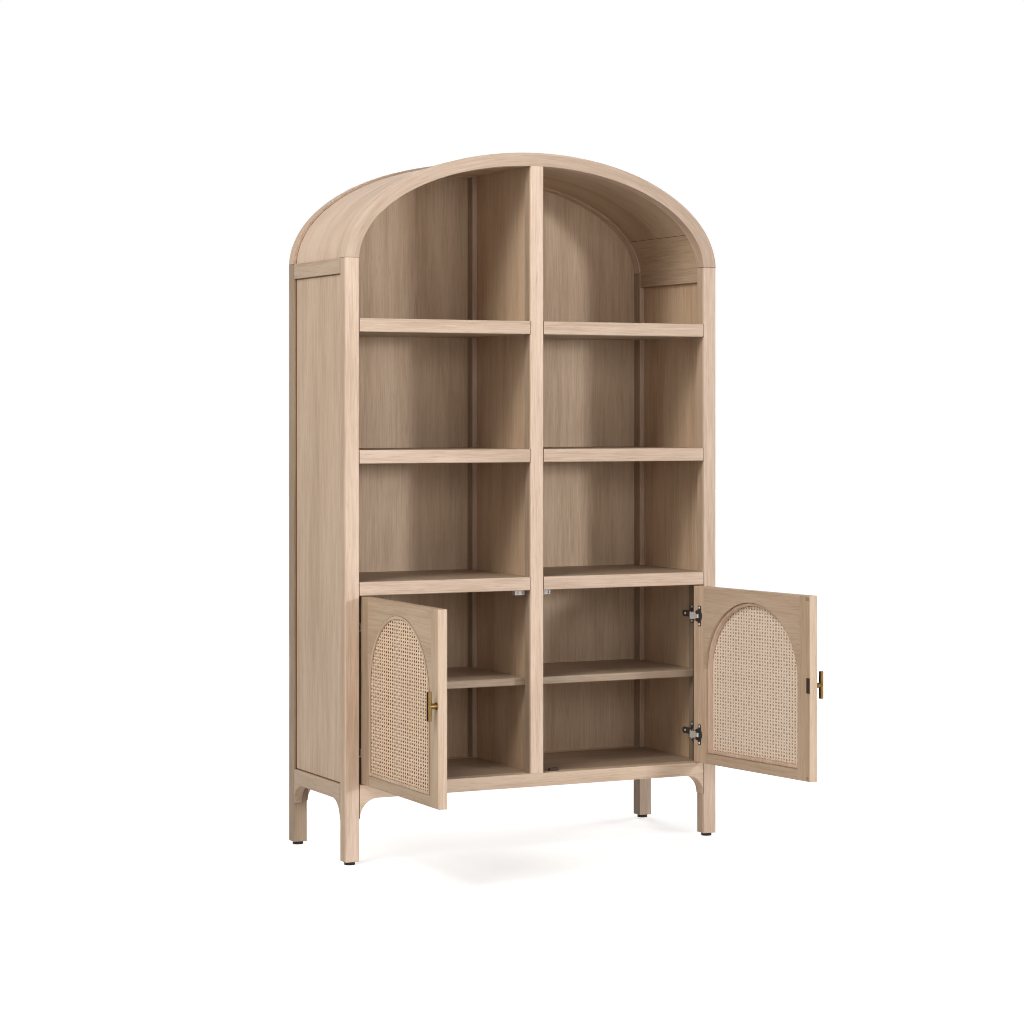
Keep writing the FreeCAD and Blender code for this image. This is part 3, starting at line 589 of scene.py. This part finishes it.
# %% Cane finish
SKIN_SHADES = (
    (0.25, (0.84, 0.605, 0.410)), (0.50, (0.91, 0.680, 0.495)), (0.75, (0.95, 0.75, 0.58)),
)
STRAND_SHARE, FLECK_SHARE, BLOTCH_SHARE = 0.45, 0.35, 0.20
FLECKS = (240.0, 240.0, 160.0)
BLOTCHES = (14.0, 14.0, 14.0)
SKIN_RIM_SHADE = (0.055, 0.028, 0.014, 1.0)
PITH_RIM_SHADE = (0.45, 0.34, 0.26, 1.0)
PITH = (0.96, 0.845, 0.735, 1.0)
PITH_COVER = 0.85
CANE_ROUGH, CANE_SMOOTH = 0.50, 0.36
CANE_GLOSS = 0.30
CANE_RELIEF, CANE_RELIEF_DEPTH = 0.15, 0.0002


def cane_finish():
    """Straw-coloured strands with painted shade on the rims: dark brown in front, paler on the pith side."""
    finish = new_finish("woven_cane")
    strand, rim, pith = (
        add(finish, "ShaderNodeAttribute", attribute_name=name).outputs["Fac"]
        for name in ("strand", "rim", "pith")
    )
    place = add(finish, "ShaderNodeTexCoord").outputs["Object"]
    flecks = speckle(finish, place, FLECKS, detail=4.0, roughness=0.65)
    blotches = speckle(finish, place, BLOTCHES, detail=2.0)
    value = calc(finish, "MULTIPLY_ADD", strand, STRAND_SHARE, calc(finish, "MULTIPLY", flecks, FLECK_SHARE))
    value = calc(finish, "MULTIPLY_ADD", blotches, BLOTCH_SHARE, value)
    skin = ramp(finish, value, SKIN_SHADES)
    strands = tint(finish, "MIX", calc(finish, "MULTIPLY", pith, PITH_COVER), skin, PITH)
    # Painted shade in the holes: dark brown on the skin side, a paler brown on the pith side
    shade = tint(finish, "MIX", pith, SKIN_RIM_SHADE, PITH_RIM_SHADE)
    shader = shader_of(finish)
    join(finish, tint(finish, "MULTIPLY", rim, strands, shade), shader.inputs["Base Color"])
    polish = remap(finish, flecks, NOISE_LOW, NOISE_HIGH, CANE_ROUGH, CANE_SMOOTH)
    join(finish, calc(finish, "MAXIMUM", polish, rim), shader.inputs["Roughness"])
    shader.inputs["Specular IOR Level"].default_value = CANE_GLOSS
    relief(finish, flecks, CANE_RELIEF, CANE_RELIEF_DEPTH)
    return finish


cane = cane_finish()
print("cane finish:", cane.name)

# %% [markdown]
# ## The arched window
# The opening of a door has straight sides, a straight sill and a half-round head. It could be typed in as
# numbers, but the solid of the cane sheet fills it, so all sizes are measured there, on the shut door. The
# tuck says how far the strands stop short of the frame, under the beads.

# %% Window
ROW_PITCH = 0.0091
COLUMN_PITCH = {"left": 0.0144, "right": 0.0118}
COLUMN_STRAND = {"left": 0.0040, "right": 0.0035}
TUCK = 0.004
ARC_STEPS = 72


class Window:
    """The arched window of a shut door, measured on its cane sheet."""

    def __init__(self, side):
        low, high = shut_box(side, "_door_cane")
        self.left, self.right, self.low = low.x, high.x, low.z
        self.front, self.back = low.y, high.y
        self.depth = (low.y + high.y) / 2
        self.middle = (low.x + high.x) / 2
        self.radius = (high.x - low.x) / 2
        self.springing = high.z - self.radius
        self.rows = int((high.z - low.z) / ROW_PITCH)
        self.pitch = COLUMN_PITCH[side]
        self.column_strand = COLUMN_STRAND[side]
        self.columns = int((high.x - low.x) / self.pitch)

    def reach(self, height):
        """Half the width that the cane fills at a height, or nothing outside the window."""
        radius = self.radius - TUCK
        rise = max(0.0, height - self.springing)
        return sqrt(max(0.0, radius ** 2 - rise ** 2)) if height > self.low + TUCK else 0.0

    def top(self, x):
        """How high the cane reaches at a place across the window."""
        radius = self.radius - TUCK
        out = abs(x - self.middle)
        return self.springing + sqrt(radius ** 2 - out ** 2) if out < radius else self.low

    def outline(self, inset, depth):
        """The window's outline, drawn in by an inset, at one depth."""
        low, radius = self.low + inset, self.radius - inset
        ring = [Vector((self.left + inset, depth, low)), Vector((self.right - inset, depth, low))]
        for i in range(ARC_STEPS + 1):
            angle = pi * i / ARC_STEPS
            x = self.middle + radius * cos(angle)
            ring.append(Vector((x, depth, self.springing + radius * sin(angle))))
        return ring


windows = {side: Window(side) for side in SIDES}
print("rows and columns:", [(window.rows, window.columns) for window in windows.values()])

# %% [markdown]
# ## Strands of cane
# The panel is an open box weave: pairs of strands run up and across, over and under each other, and leave
# small holes. On a flat sheet no strand would catch the light, so each one is made here. Its middle line is a
# wave in depth, half a turn out of step with the next pair's. Real cane is never quite straight, so each pair
# also strays sideways by a fraction of a millimetre, in its own way. On the left door the columns are wider
# and further apart than on the right one.

# %% Strand lines
ROW_STRAND = 0.0024
PAIR = (-0.51, 0.51)
STRAY, STRAY_LENGTH = 0.00055, 0.070
GOLDEN = 0.618
WAVE = 0.00048
STEPS_PER_CROSSING = 2.5


def stray(number, distance):
    """How far a pair of strands wanders off its straight line, each pair in its own way."""
    start = 2 * pi * number * GOLDEN
    return STRAY * (sin(distance / STRAY_LENGTH * 2 * pi + start) + sin(3 * start))


class RowPath:
    """The line of a strand that runs across the window."""

    width = ROW_STRAND

    def __init__(self, window, row, offset):
        self.window, self.row, self.offset = window, row, offset
        self.step = window.pitch / STEPS_PER_CROSSING
        self.height = window.low + (row + 0.5) * ROW_PITCH + offset * self.width
        half = window.reach(self.height)
        self.start, self.end = window.middle - half, window.middle + half

    def __call__(self, x):
        turn = pi * ((x - self.window.left) / self.window.pitch - 0.5 + self.row)
        depth = self.window.depth + WAVE * cos(turn)
        return Vector((x, depth, self.height + stray(self.row, x))), Vector((0, 0, 1)), Vector((0, 1, 0))


class ColumnPath:
    """The line of a strand that runs up the window."""

    step = ROW_PITCH / STEPS_PER_CROSSING

    def __init__(self, window, column, offset):
        self.window, self.column, self.offset = window, column, offset
        self.width = window.column_strand
        self.x = window.left + (column + 0.5) * window.pitch + offset * self.width
        self.start, self.end = window.low + TUCK, window.top(self.x)

    def __call__(self, z):
        turn = pi * ((z - self.window.low) / ROW_PITCH - 0.5 + self.column)
        depth = self.window.depth - WAVE * cos(turn)
        return Vector((self.x + stray(self.column, z), depth, z)), Vector((1, 0, 0)), Vector((0, 1, 0))


def strand_paths(window):
    """The lines of all strands that cross the window, rows first."""
    paths = [RowPath(window, row, offset) for row in range(window.rows) for offset in PAIR]
    paths += [ColumnPath(window, column, offset) for column in range(window.columns) for offset in PAIR]
    return [path for path in paths if path.end > path.start]


print("strands:", {side: len(strand_paths(window)) for side, window in windows.items()})

# %% [markdown]
# ## The woven panel
# A strand's section is a flat lens of six points. All strands of a door become one mesh, so that a door has
# one piece of cane, as the real one does. Open holes would show the shelf behind, but the photograph shows
# dark brown in them in front and a paler brown behind: shade in the holes. So a lining of two thin sheets,
# dark sheets put where there is only shade, lies in the panel's middle. It counts as rim, and the finish
# gives it the rims' painted shade.

# %% Weave
STRAND_THICKNESS = 0.0009
SECTION = [(-0.85, -1), (0.85, -1), (1, 0), (0.85, 1), (-0.85, 1), (-1, 0)]
SHADE_SHEETS_APART, SHADE_SHEET_TONE = 0.0002, 0.5


def wavy_strand(points, faces, path):
    """Add a flat strand along a path, which gives its middle, its side way and its depth way."""
    length = path.end - path.start
    count = max(2, int(round(length / path.step)))
    half_width, half_depth = path.width / 2, STRAND_THICKNESS / 2
    loops = []
    for i in range(count + 1):
        middle, side_way, depth_way = path(path.start + length * i / count)
        loops.append([
            middle + side_way * (u * half_width) + depth_way * (v * half_depth) for u, v in SECTION
        ])
    skin_loops(points, faces, loops)


def weave(side):
    """The cane panel of a door, as one mesh in the open place."""
    window, turn = windows[side], door_turn(side)
    paths = strand_paths(window)
    points, faces, tones, rim_shades = [], [], [], []
    for number, path in enumerate(paths, start=1):
        before = len(points)
        wavy_strand(points, faces, path)
        added = len(points) - before
        tones += [(number * GOLDEN) % 1.0] * added
        # The outer side of each pair looks into the holes and gets painted shade
        rim_shades += [float(u * path.offset > 0 and abs(u) == 1) for u, v in SECTION] * (added // len(SECTION))
    piths = [float(v > 0) for u, v in SECTION] * (len(points) // len(SECTION))
    # Two dark sheets put in the holes, where there is only shade
    for pith in (0.0, 1.0):
        sheet = window.outline(TUCK, window.depth + (pith - 0.5) * SHADE_SHEETS_APART)
        faces.append(tuple(range(len(points), len(points) + len(sheet))))
        points += sheet
        tones += [SHADE_SHEET_TONE] * len(sheet)
        rim_shades += [1.0] * len(sheet)
        piths += [pith] * len(sheet)
    made = piece_from(side + "_cane_weave", [turn @ point for point in points], faces, cane)
    for attribute, values in (("strand", tones), ("rim", rim_shades), ("pith", piths)):
        layer = made.data.attributes.new(attribute, "FLOAT", "POINT")
        layer.data.foreach_set("value", values)
    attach(made, side + "_door")
    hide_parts(side + "_door_cane")
    print(made.name, len(paths), "strands,", len(faces), "faces")


for side in SIDES:
    weave(side)

# %% [markdown]
# ## Beads round the window
# A bead is the thin moulding that hides the cut edge of the cane. The one on the face stands a little proud
# of the door, the one on the back is a deep strip, and both have a flat face with eased edges. A dark seam
# runs where the bead meets the frame, softer at the back, and another where it meets the cane; each is partly
# a dark joint and partly painted shade in the groove. A curve with a bevel would do, but its mitres at the
# two square corners are hard to steer. Here the outline of the window is drawn again for each point of the
# section, drawn in by that point's distance, so the mitres come by themselves.

# %% Bead sections and rings
BEAD_WIDTH = 0.0095
BEAD_SEAM = 0.0018
BEAD_ROUND = 0.0012
BEAD_ROOM = 0.0002
SEAM_FLOOR, EASED_EDGE = 0.6, 0.4
# Darkness of the seams, joint and painted shade together: at the frame in front, at the back, at the cane
FRONT_SEAM_AND_SHADE, BACK_SEAM_AND_SHADE, CANE_SEAM_AND_SHADE = 0.8, 0.35, 0.6


def bead_section(crest, way, cane_face, seam_and_shade):
    """A bead from the frame to the window, as (inset, depth, seam and painted shade), down to the cane."""
    low = crest + way * BEAD_ROUND
    inner_wall = BEAD_WIDTH - BEAD_ROOM
    return [
        (BEAD_ROOM, cane_face, seam_and_shade),
        (BEAD_ROOM, low, seam_and_shade),
        (SEAM_FLOOR * BEAD_SEAM, low, seam_and_shade),
        (BEAD_SEAM, crest, 0.0),
        (BEAD_WIDTH / 2, crest, 0.0),
        (BEAD_WIDTH - BEAD_SEAM, crest, 0.0),
        (BEAD_WIDTH - EASED_EDGE * BEAD_SEAM, low, 0.0),
        (inner_wall, low + way * BEAD_ROUND, 0.0),
        (inner_wall, cane_face - way * BEAD_ROUND, 0.0),
        (inner_wall, cane_face, CANE_SEAM_AND_SHADE),
    ]


def beads(side):
    """Both beads of a door, as one mesh in the open place."""
    window, turn = windows[side], door_turn(side)
    low, high = shut_box(side, "_door_beads")
    points, faces, seams_and_shade = [], [], []
    front = bead_section(low.y, 1, window.front, FRONT_SEAM_AND_SHADE)
    back = bead_section(high.y, -1, window.back, BACK_SEAM_AND_SHADE)
    for section in (front, back):
        loops = [window.outline(inset, depth) for inset, depth, seam_and_shade in section]
        skin_loops(points, faces, loops, closed=True)
        seams_and_shade += [seam_and_shade for inset, depth, seam_and_shade in section for point in loops[0]]
    finish = finish_for(side + "_door_beads")
    made = piece_from(side + "_window_beads", [turn @ point for point in points], faces, finish)
    made.data.attributes.new("seam_and_shade", "FLOAT", "POINT").data.foreach_set("value", seams_and_shade)
    keep_edges(made)
    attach(made, side + "_door")
    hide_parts(side + "_door_beads")
    print(made.name, len(faces), "faces")


for side in SIDES:
    beads(side)

# %% [markdown]
# ## Brass pulls
# Each pull is a T-bar: a round collar on the door, a short stem and an upright bar. On a real one every rim
# is turned with a tiny bevel, and that bevel is what glints. Plain cylinders would have knife edges. A turned
# part is a section spun about an axis, so the collar, stem and bar are three spun sections.

# %% Pulls
SPIN_STEPS = 40
PIN_HOLE = 0.02
COLLAR_LENGTH, COLLAR_BEVEL = 0.0040, 0.0008
STEM_START, STEM_RADIUS, STEM_BEVEL = 0.0035, 0.0074, 0.0003
BAR_RADIUS, BAR_BEVEL = 0.0065, 0.0009


def spun(points, faces, start, way, section):
    """Spin a section of (distance along, radius) about an axis."""
    side = way.orthogonal().normalized()
    other = way.cross(side)
    angles = [2 * pi * i / SPIN_STEPS for i in range(SPIN_STEPS)]
    loops = []
    for along, radius in section:
        centre = start + way * along
        loops.append([centre + side * (radius * cos(a)) + other * (radius * sin(a)) for a in angles])
    skin_loops(points, faces, loops)


def bevelled(length, radius, bevel):
    """The section of a bar with bevelled ends, which close all but a pin hole."""
    hole = radius * PIN_HOLE
    foot = [(0, hole), (0, radius - bevel), (bevel, radius)]
    return foot + [(length - along, width) for along, width in reversed(foot)]


def pull(side):
    """A T-bar pull as one mesh in the open place."""
    turn = door_turn(side)
    low, high = shut_box(side, "_door_pull")
    middle = (low + high) / 2
    root = Vector((middle.x, high.y, middle.z))
    outward, upward = Vector((0, -1, 0)), Vector((0, 0, 1))
    stem_length = high.y - low.y - BAR_RADIUS - STEM_START
    bar_foot = Vector((middle.x, low.y + BAR_RADIUS, low.z))
    points, faces = [], []
    spun(points, faces, root, outward, bevelled(COLLAR_LENGTH, (high.x - low.x) / 2, COLLAR_BEVEL))
    spun(points, faces, root + outward * STEM_START, outward, bevelled(stem_length, STEM_RADIUS, STEM_BEVEL))
    spun(points, faces, bar_foot, upward, bevelled(high.z - low.z, BAR_RADIUS, BAR_BEVEL))
    made = piece_from(side + "_tbar_pull", [turn @ point for point in points], faces, brass)
    keep_edges(made)
    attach(made, side + "_door")
    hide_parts(side + "_door_pull")
    print(made.name, len(faces), "faces")


for side in SIDES:
    pull(side)

# %% [markdown]
# ## Screws
# The hinges and catches are held by small cross-head screws, which show as bright dots on the dark plates. A
# plain disc would look like a rivet. A head is drawn as a ring and a cross on one plane, the space between
# them is filled, and the cross is sunk. The sizes of a head are shares of its radius.

# %% One screw head
HEAD_STEPS = 20
DOME, CROWN = 0.45, 0.78
CROSS_ARM, CROSS_HALF = 0.55, 0.14
CROSS_TAPER, CROSS_FLOOR = 0.7, 0.25


def screw_points(radius):
    """Points and faces of a screw head that faces +Z, with its seat at the origin."""
    tool = bmesh.new()
    dome, rim = radius * DOME, CROWN * radius
    angles = [2 * pi * i / HEAD_STEPS for i in range(HEAD_STEPS)]
    seat = [tool.verts.new((radius * cos(a), radius * sin(a), 0)) for a in angles]
    crown = [tool.verts.new((rim * cos(a), rim * sin(a), dome)) for a in angles]
    for i in range(HEAD_STEPS):
        k = (i + 1) % HEAD_STEPS
        tool.faces.new((seat[i], seat[k], crown[k], crown[i]))
    arm, half = CROSS_ARM * radius, CROSS_HALF * radius
    corners = [
        (arm, -half), (arm, half), (half, half), (half, arm), (-half, arm), (-half, half),
        (-arm, half), (-arm, -half), (-half, -half), (-half, -arm), (half, -arm), (half, -half),
    ]
    top = [tool.verts.new((x, y, dome)) for x, y in corners]
    floor = [tool.verts.new((CROSS_TAPER * x, CROSS_TAPER * y, CROSS_FLOOR * dome)) for x, y in corners]
    rings = []
    for loop in (crown, top):
        for pair in zip(loop, loop[1:] + loop[:1]):
            rings.append(tool.edges.get(pair) or tool.edges.new(pair))
    bmesh.ops.triangle_fill(tool, edges=rings, use_beauty=True)
    for i in range(len(top)):
        k = (i + 1) % len(top)
        tool.faces.new((top[i], top[k], floor[k], floor[i]))
    tool.faces.new(floor)
    tool.verts.index_update()
    points = [vertex.co.copy() for vertex in tool.verts]
    faces = [tuple(vertex.index for vertex in face.verts) for face in tool.faces]
    tool.free()
    return points, faces


print("a screw head has", len(screw_points(1.0)[1]), "faces")

# %% Screws on the cups
SCREW_TURN = 0.5
WING_HALF, WING_X = 0.030, 0.513
FLANGE = 0.0015
CUP_SCREW, CUP_SCREW_SPREAD = 0.0038, 0.024

cup_low, cup_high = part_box("left_hinge_cups")
hinge_heights = (cup_low.z + WING_HALF, cup_high.z - WING_HALF)


def screws(name, body, radius, places):
    """Screw heads at a list of (place, facing), as one piece that moves with a body."""
    head_points, head_faces = screw_points(radius)
    points, faces = [], []
    for number, (place, facing) in enumerate(places):
        turn = facing.to_track_quat("Z", "Y").to_matrix() @ Matrix.Rotation(SCREW_TURN * number, 3, "Z")
        first = len(points)
        points.extend(place + turn @ point for point in head_points)
        faces.extend(tuple(first + i for i in face) for face in head_faces)
    made = piece_from(name, points, faces, bright_steel, smooth=False)
    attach(made, body)
    print(name, len(places), "screws")


for side, sign in SIDES.items():
    turn = door_turn(side)
    flange_face = shut_box(side, "_door_hinge_stile")[1].y + FLANGE
    facing = turn.to_3x3() @ Vector((0, 1, 0))
    on_cups = []
    for height in hinge_heights:
        for step in (-CUP_SCREW_SPREAD, CUP_SCREW_SPREAD):
            on_cups.append((turn @ Vector((sign * WING_X, flange_face, height + step)), facing))
    screws(side + "_cup_screws", side + "_door", CUP_SCREW, on_cups)

# %% Screws on the plates, arms and catches
PLATE, ARM = 0.003, 0.008
PLATE_SCREW, PLATE_SCREW_SPREAD = 0.0040, 0.021
ARM_SCREW, ARM_SCREW_FROM_END = 0.0042, 0.016
CATCH_SCREW, CATCH_SCREWS_FROM_END = 0.0017, (0.036, 0.002)
CATCH_FLANGE = 0.002

plate_low, plate_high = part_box("hinge_plates")
plate_middle = (plate_low.y + plate_high.y) / 2
plate_face = plate_high.x - PLATE
arm_screw_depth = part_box("hinge_arms")[1].y - ARM_SCREW_FROM_END
catch_low, catch_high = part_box("magnetic_catches")
catch_middle = (catch_low.y + catch_high.y) / 2
on_plates, on_arms, on_catches = [], [], []
for sign in SIDES.values():
    inward = Vector((-sign, 0, 0))
    for height in hinge_heights:
        for step in (-PLATE_SCREW_SPREAD, PLATE_SCREW_SPREAD):
            on_plates.append((Vector((sign * plate_face, plate_middle, height + step)), inward))
        on_arms.append((Vector((sign * (plate_face - ARM), arm_screw_depth, height)), inward))
    for from_end in CATCH_SCREWS_FROM_END:
        place = Vector((sign * (catch_high.x - from_end), catch_middle, catch_high.z - CATCH_FLANGE))
        on_catches.append((place, Vector((0, 0, -1))))
screws("plate_screws", "case", PLATE_SCREW, on_plates)
screws("arm_screws", "case", ARM_SCREW, on_arms)
screws("catch_screws", "case", CATCH_SCREW, on_catches)

# %% [markdown]
# ## Dark strips in the shaded gap on the hinge side
# An inset door needs a few millimetres of air beside its hinge stile, and light shines through that gap. A
# dark strip behind it, fixed to the inner face of the post, closes it: a dark piece put where the gap is in
# shade. One long bar would stand in the way of the links, so the strip stops short of each hinge. It is a row
# of plain blocks.

# %% Shade strips
SHADE_STRIP_REACH, SHADE_STRIP_THICKNESS = 0.0185, 0.0025
SHADE_STRIP_BEHIND_DOOR = 0.005
SHADE_STRIP_END = 0.001
HINGE_ROOM = 0.0105
BLOCK_FACES = 6


def block(points, faces, levels):
    """Add a closed block through rectangles (left, front, right, back, height), from the lowest up."""
    first = len(points)
    loops = []
    for left, front, right, back, height in levels:
        square = ((left, front), (right, front), (right, back), (left, back))
        loops.append([Vector((x, y, height)) for x, y in square])
    skin_loops(points, faces, loops)
    last = len(points) - len(square)
    faces += [(first + 3, first + 2, first + 1, first), (last, last + 1, last + 2, last + 3)]


# A dark finish for the strips, painted shade for the gap beside each hinge stile
gap_shade_dark = worked("gap_shade_dark", (0.090, 0.062, 0.040), (0.130, 0.092, 0.060), metal=0.0, rough=0.85,
                     stretch=(700.0, 700.0, 700.0))
door_back = shut_box("right", "_door_hinge_stile")[1].y
shade_strip_front = door_back + SHADE_STRIP_BEHIND_DOOR
shade_strip_back = shade_strip_front + SHADE_STRIP_THICKNESS
shade_strip_ends = [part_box("front_bottom_rail")[1].z + SHADE_STRIP_END]
for height in hinge_heights:
    shade_strip_ends += [height - HINGE_ROOM, height + HINGE_ROOM]
shade_strip_ends.append(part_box("left_door_hinge_stile")[1].z + SHADE_STRIP_END)
for side, sign in SIDES.items():
    left, right = sorted((sign * post_low.x, sign * (post_low.x - SHADE_STRIP_REACH)))
    points, faces = [], []
    for ends in zip(shade_strip_ends[::2], shade_strip_ends[1::2]):
        block(points, faces, [(left, shade_strip_front, right, shade_strip_back, height) for height in ends])
    shade_strip = piece_from(side + "_gap_seal", points, faces, gap_shade_dark, smooth=False)
    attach(shade_strip, "case")
    print(shade_strip.name, len(faces) // BLOCK_FACES, "lengths")

# %% [markdown]
# ## A dark block on the cupboard floor
# On the floor of the cupboard, just right of the divider, sits a small dark brown block: a plate with a
# smaller block on it, a hair behind the shut door. Two boxes would leave hidden faces between them. It is one
# block with a step.

# %% Dark block on the floor
FLOOR_BLOCK_LEFT, FLOOR_BLOCK_WIDTH, FLOOR_BLOCK_DEPTH = 0.052, 0.032, 0.014
FLOOR_BLOCK_PLATE, FLOOR_BLOCK_TOP, FLOOR_BLOCK_STEP = 0.0025, 0.0080, 0.0025
FLOOR_BLOCK_ROOM = 0.001

floor_block_brown = worked("floor_block_brown", (0.050, 0.036, 0.025), (0.080, 0.058, 0.041), metal=0.0, rough=0.85,
                     stretch=(700.0, 700.0, 700.0))
floor_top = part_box("right_cupboard_floor")[1].z
plate_top, pad_top = floor_top + FLOOR_BLOCK_PLATE, floor_top + FLOOR_BLOCK_TOP
floor_block_front = door_back + FLOOR_BLOCK_ROOM
plate = (FLOOR_BLOCK_LEFT, floor_block_front, FLOOR_BLOCK_LEFT + FLOOR_BLOCK_WIDTH, floor_block_front + FLOOR_BLOCK_DEPTH)
pad = (plate[0] + FLOOR_BLOCK_STEP, plate[1] + FLOOR_BLOCK_STEP, plate[2] - FLOOR_BLOCK_STEP, plate[3] - FLOOR_BLOCK_STEP)
points, faces = [], []
block(points, faces, [(*plate, floor_top), (*plate, plate_top), (*pad, plate_top), (*pad, pad_top)])
# A dark brown block on the cupboard floor, right of the divider
stop = piece_from("right_door_stop", points, faces, floor_block_brown, smooth=False)
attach(stop, "case")
print(stop.name, "front at", round(floor_block_front, 4))

# %% [markdown]
# ## Floor and world
# The bookcase stands on a plain white floor that runs into a white world, as in a product photograph. Light
# strong enough to burn a grey floor out to white would bleach the oak too. So the floor and the world glow
# only for the camera and for reflections, and light the case next to not at all. Near the case the floor
# glows less, so that a faint shadow stays on it.

# %% Floor
WHITE = (1.0, 1.0, 1.0, 1.0)
FLOOR_GREY = (0.80, 0.80, 0.80, 1.0)
FLOOR_ROUGH, FLOOR_GLOSS = 0.9, 0.1
NEAR, FAR = 1.0, 3.5
GLOW_NEAR, GLOW_FAR = 0.60, 1.0
HALF_FLOOR = 30.0


def looked_at(finish):
    """One for what the camera sees, straight or in a reflection, and nought for other light."""
    path = add(finish, "ShaderNodeLightPath")
    seen = calc(finish, "MAXIMUM", path.outputs["Is Camera Ray"], path.outputs["Is Glossy Ray"])
    return calc(finish, "MAXIMUM", seen, path.outputs["Is Transmission Ray"])


def floor_finish():
    """White for the camera, with the shadow of the case left on it."""
    finish = new_finish("studio_floor")
    shader = shader_of(finish)
    shader.inputs["Base Color"].default_value = FLOOR_GREY
    shader.inputs["Roughness"].default_value = FLOOR_ROUGH
    shader.inputs["Specular IOR Level"].default_value = FLOOR_GLOSS
    glow = add(finish, "ShaderNodeEmission")
    glow.inputs["Color"].default_value = WHITE
    span = add(finish, "ShaderNodeVectorMath", operation="LENGTH")
    join(finish, add(finish, "ShaderNodeTexCoord").outputs["Object"], span.inputs[0])
    level = remap(finish, span.outputs["Value"], NEAR, FAR, GLOW_NEAR, GLOW_FAR)
    join(finish, calc(finish, "MULTIPLY", looked_at(finish), level), glow.inputs["Strength"])
    both = add(finish, "ShaderNodeAddShader")
    join(finish, shader.outputs["BSDF"], both.inputs[0])
    join(finish, glow.outputs["Emission"], both.inputs[1])
    join(finish, both.outputs["Shader"], finish.node_tree.nodes["Material Output"].inputs["Surface"])
    return finish


corners = [(HALF_FLOOR * x, HALF_FLOOR * y, 0) for x, y in ((-1, -1), (1, -1), (1, 1), (-1, 1))]
floor = piece_from("studio_floor", corners, [(0, 1, 2, 3)], floor_finish(), smooth=False)
print("floor", 2 * HALF_FLOOR, "m wide")

# %% World
AMBIENT = 0.02

world = bpy.data.worlds.new("studio")
world.use_nodes = True
bpy.context.scene.world = world
sky = world.node_tree.nodes["Background"]
sky.inputs["Color"].default_value = WHITE
join(world, remap(world, looked_at(world), 0.0, 1.0, AMBIENT, 1.0), sky.inputs["Strength"])
print("world light", AMBIENT)

# %% [markdown]
# ## Lamps
# The photograph has one main light in front on the right, which throws soft shadows into the bays, and fill
# from the left that opens the side and the doors. One big lamp would wash those shadows out. Here eight area
# lamps share the work: three in front, two warm ones on the left, a weak one overhead, and one each behind
# and on the right for the sides that the camera doesn't see.

# %% Lamps
AIM = Vector((0.0, 0.0, 1.0))
COLOURLESS = (1.0, 1.0, 1.0)
WARM = (1.0, 0.95, 0.87)


def soft_light(name, place, size, power, colour=COLOURLESS):
    """A square area lamp that looks at the middle of the case."""
    lamp = bpy.data.lights.new(name, "AREA")
    lamp.size = size
    lamp.energy = power
    lamp.color = colour
    made = placed(name, lamp)
    made.location = place
    made.rotation_euler = (AIM - made.location).to_track_quat("-Z", "Y").to_euler()
    print(name, power, "W")


soft_light("front_right_light", (4.07, -9.3, 1.85), size=1.0, power=303)
soft_light("front_light", (0.4, -6.6, 2.0), size=2.0, power=43)
soft_light("front_left_light", (-3.0, -6.0, 2.4), size=1.6, power=34)
soft_light("left_light", (-3.98, -1.70, 2.6), size=1.5, power=45, colour=WARM)
soft_light("upper_left_light", (-2.9, -1.9, 4.2), size=1.5, power=96, colour=WARM)
soft_light("rear_light", (-0.6, 1.2, 4.6), size=2.0, power=14)
soft_light("back_light", (1.6, 6.2, 2.2), size=2.0, power=190)
soft_light("right_light", (6.2, 2.2, 2.2), size=2.0, power=150)

# %% [markdown]
# ## Camera
# The photograph was taken from the front left with a long lens, at chest height. A camera that is tilted down
# makes upright posts lean together. This one stays level, so that the posts stay parallel, and a small
# vertical shift of the lens puts the case in the middle of the frame.

# %% Camera
SENSOR, FOCAL_LENGTH = 36.0, 91.28
LENS_SHIFT = -0.0949
FAR_LIMIT = 200.0
EYE = (-3.2968, -6.7581, 1.229)
LEVEL, HEADING = radians(90.0), radians(-26.177)
PIXEL_FILTER = 1.0

lens = bpy.data.cameras.new("camera")
lens.sensor_width = SENSOR
lens.lens = FOCAL_LENGTH
lens.shift_y = LENS_SHIFT
lens.clip_end = FAR_LIMIT
camera = placed("camera", lens)
camera.location = EYE
camera.rotation_euler = (LEVEL, 0.0, HEADING)
bpy.context.scene.camera = camera
bpy.context.scene.view_settings.view_transform = "Standard"
bpy.context.scene.cycles.filter_width = PIXEL_FILTER
print("camera at", tuple(round(n, 2) for n in camera.location))
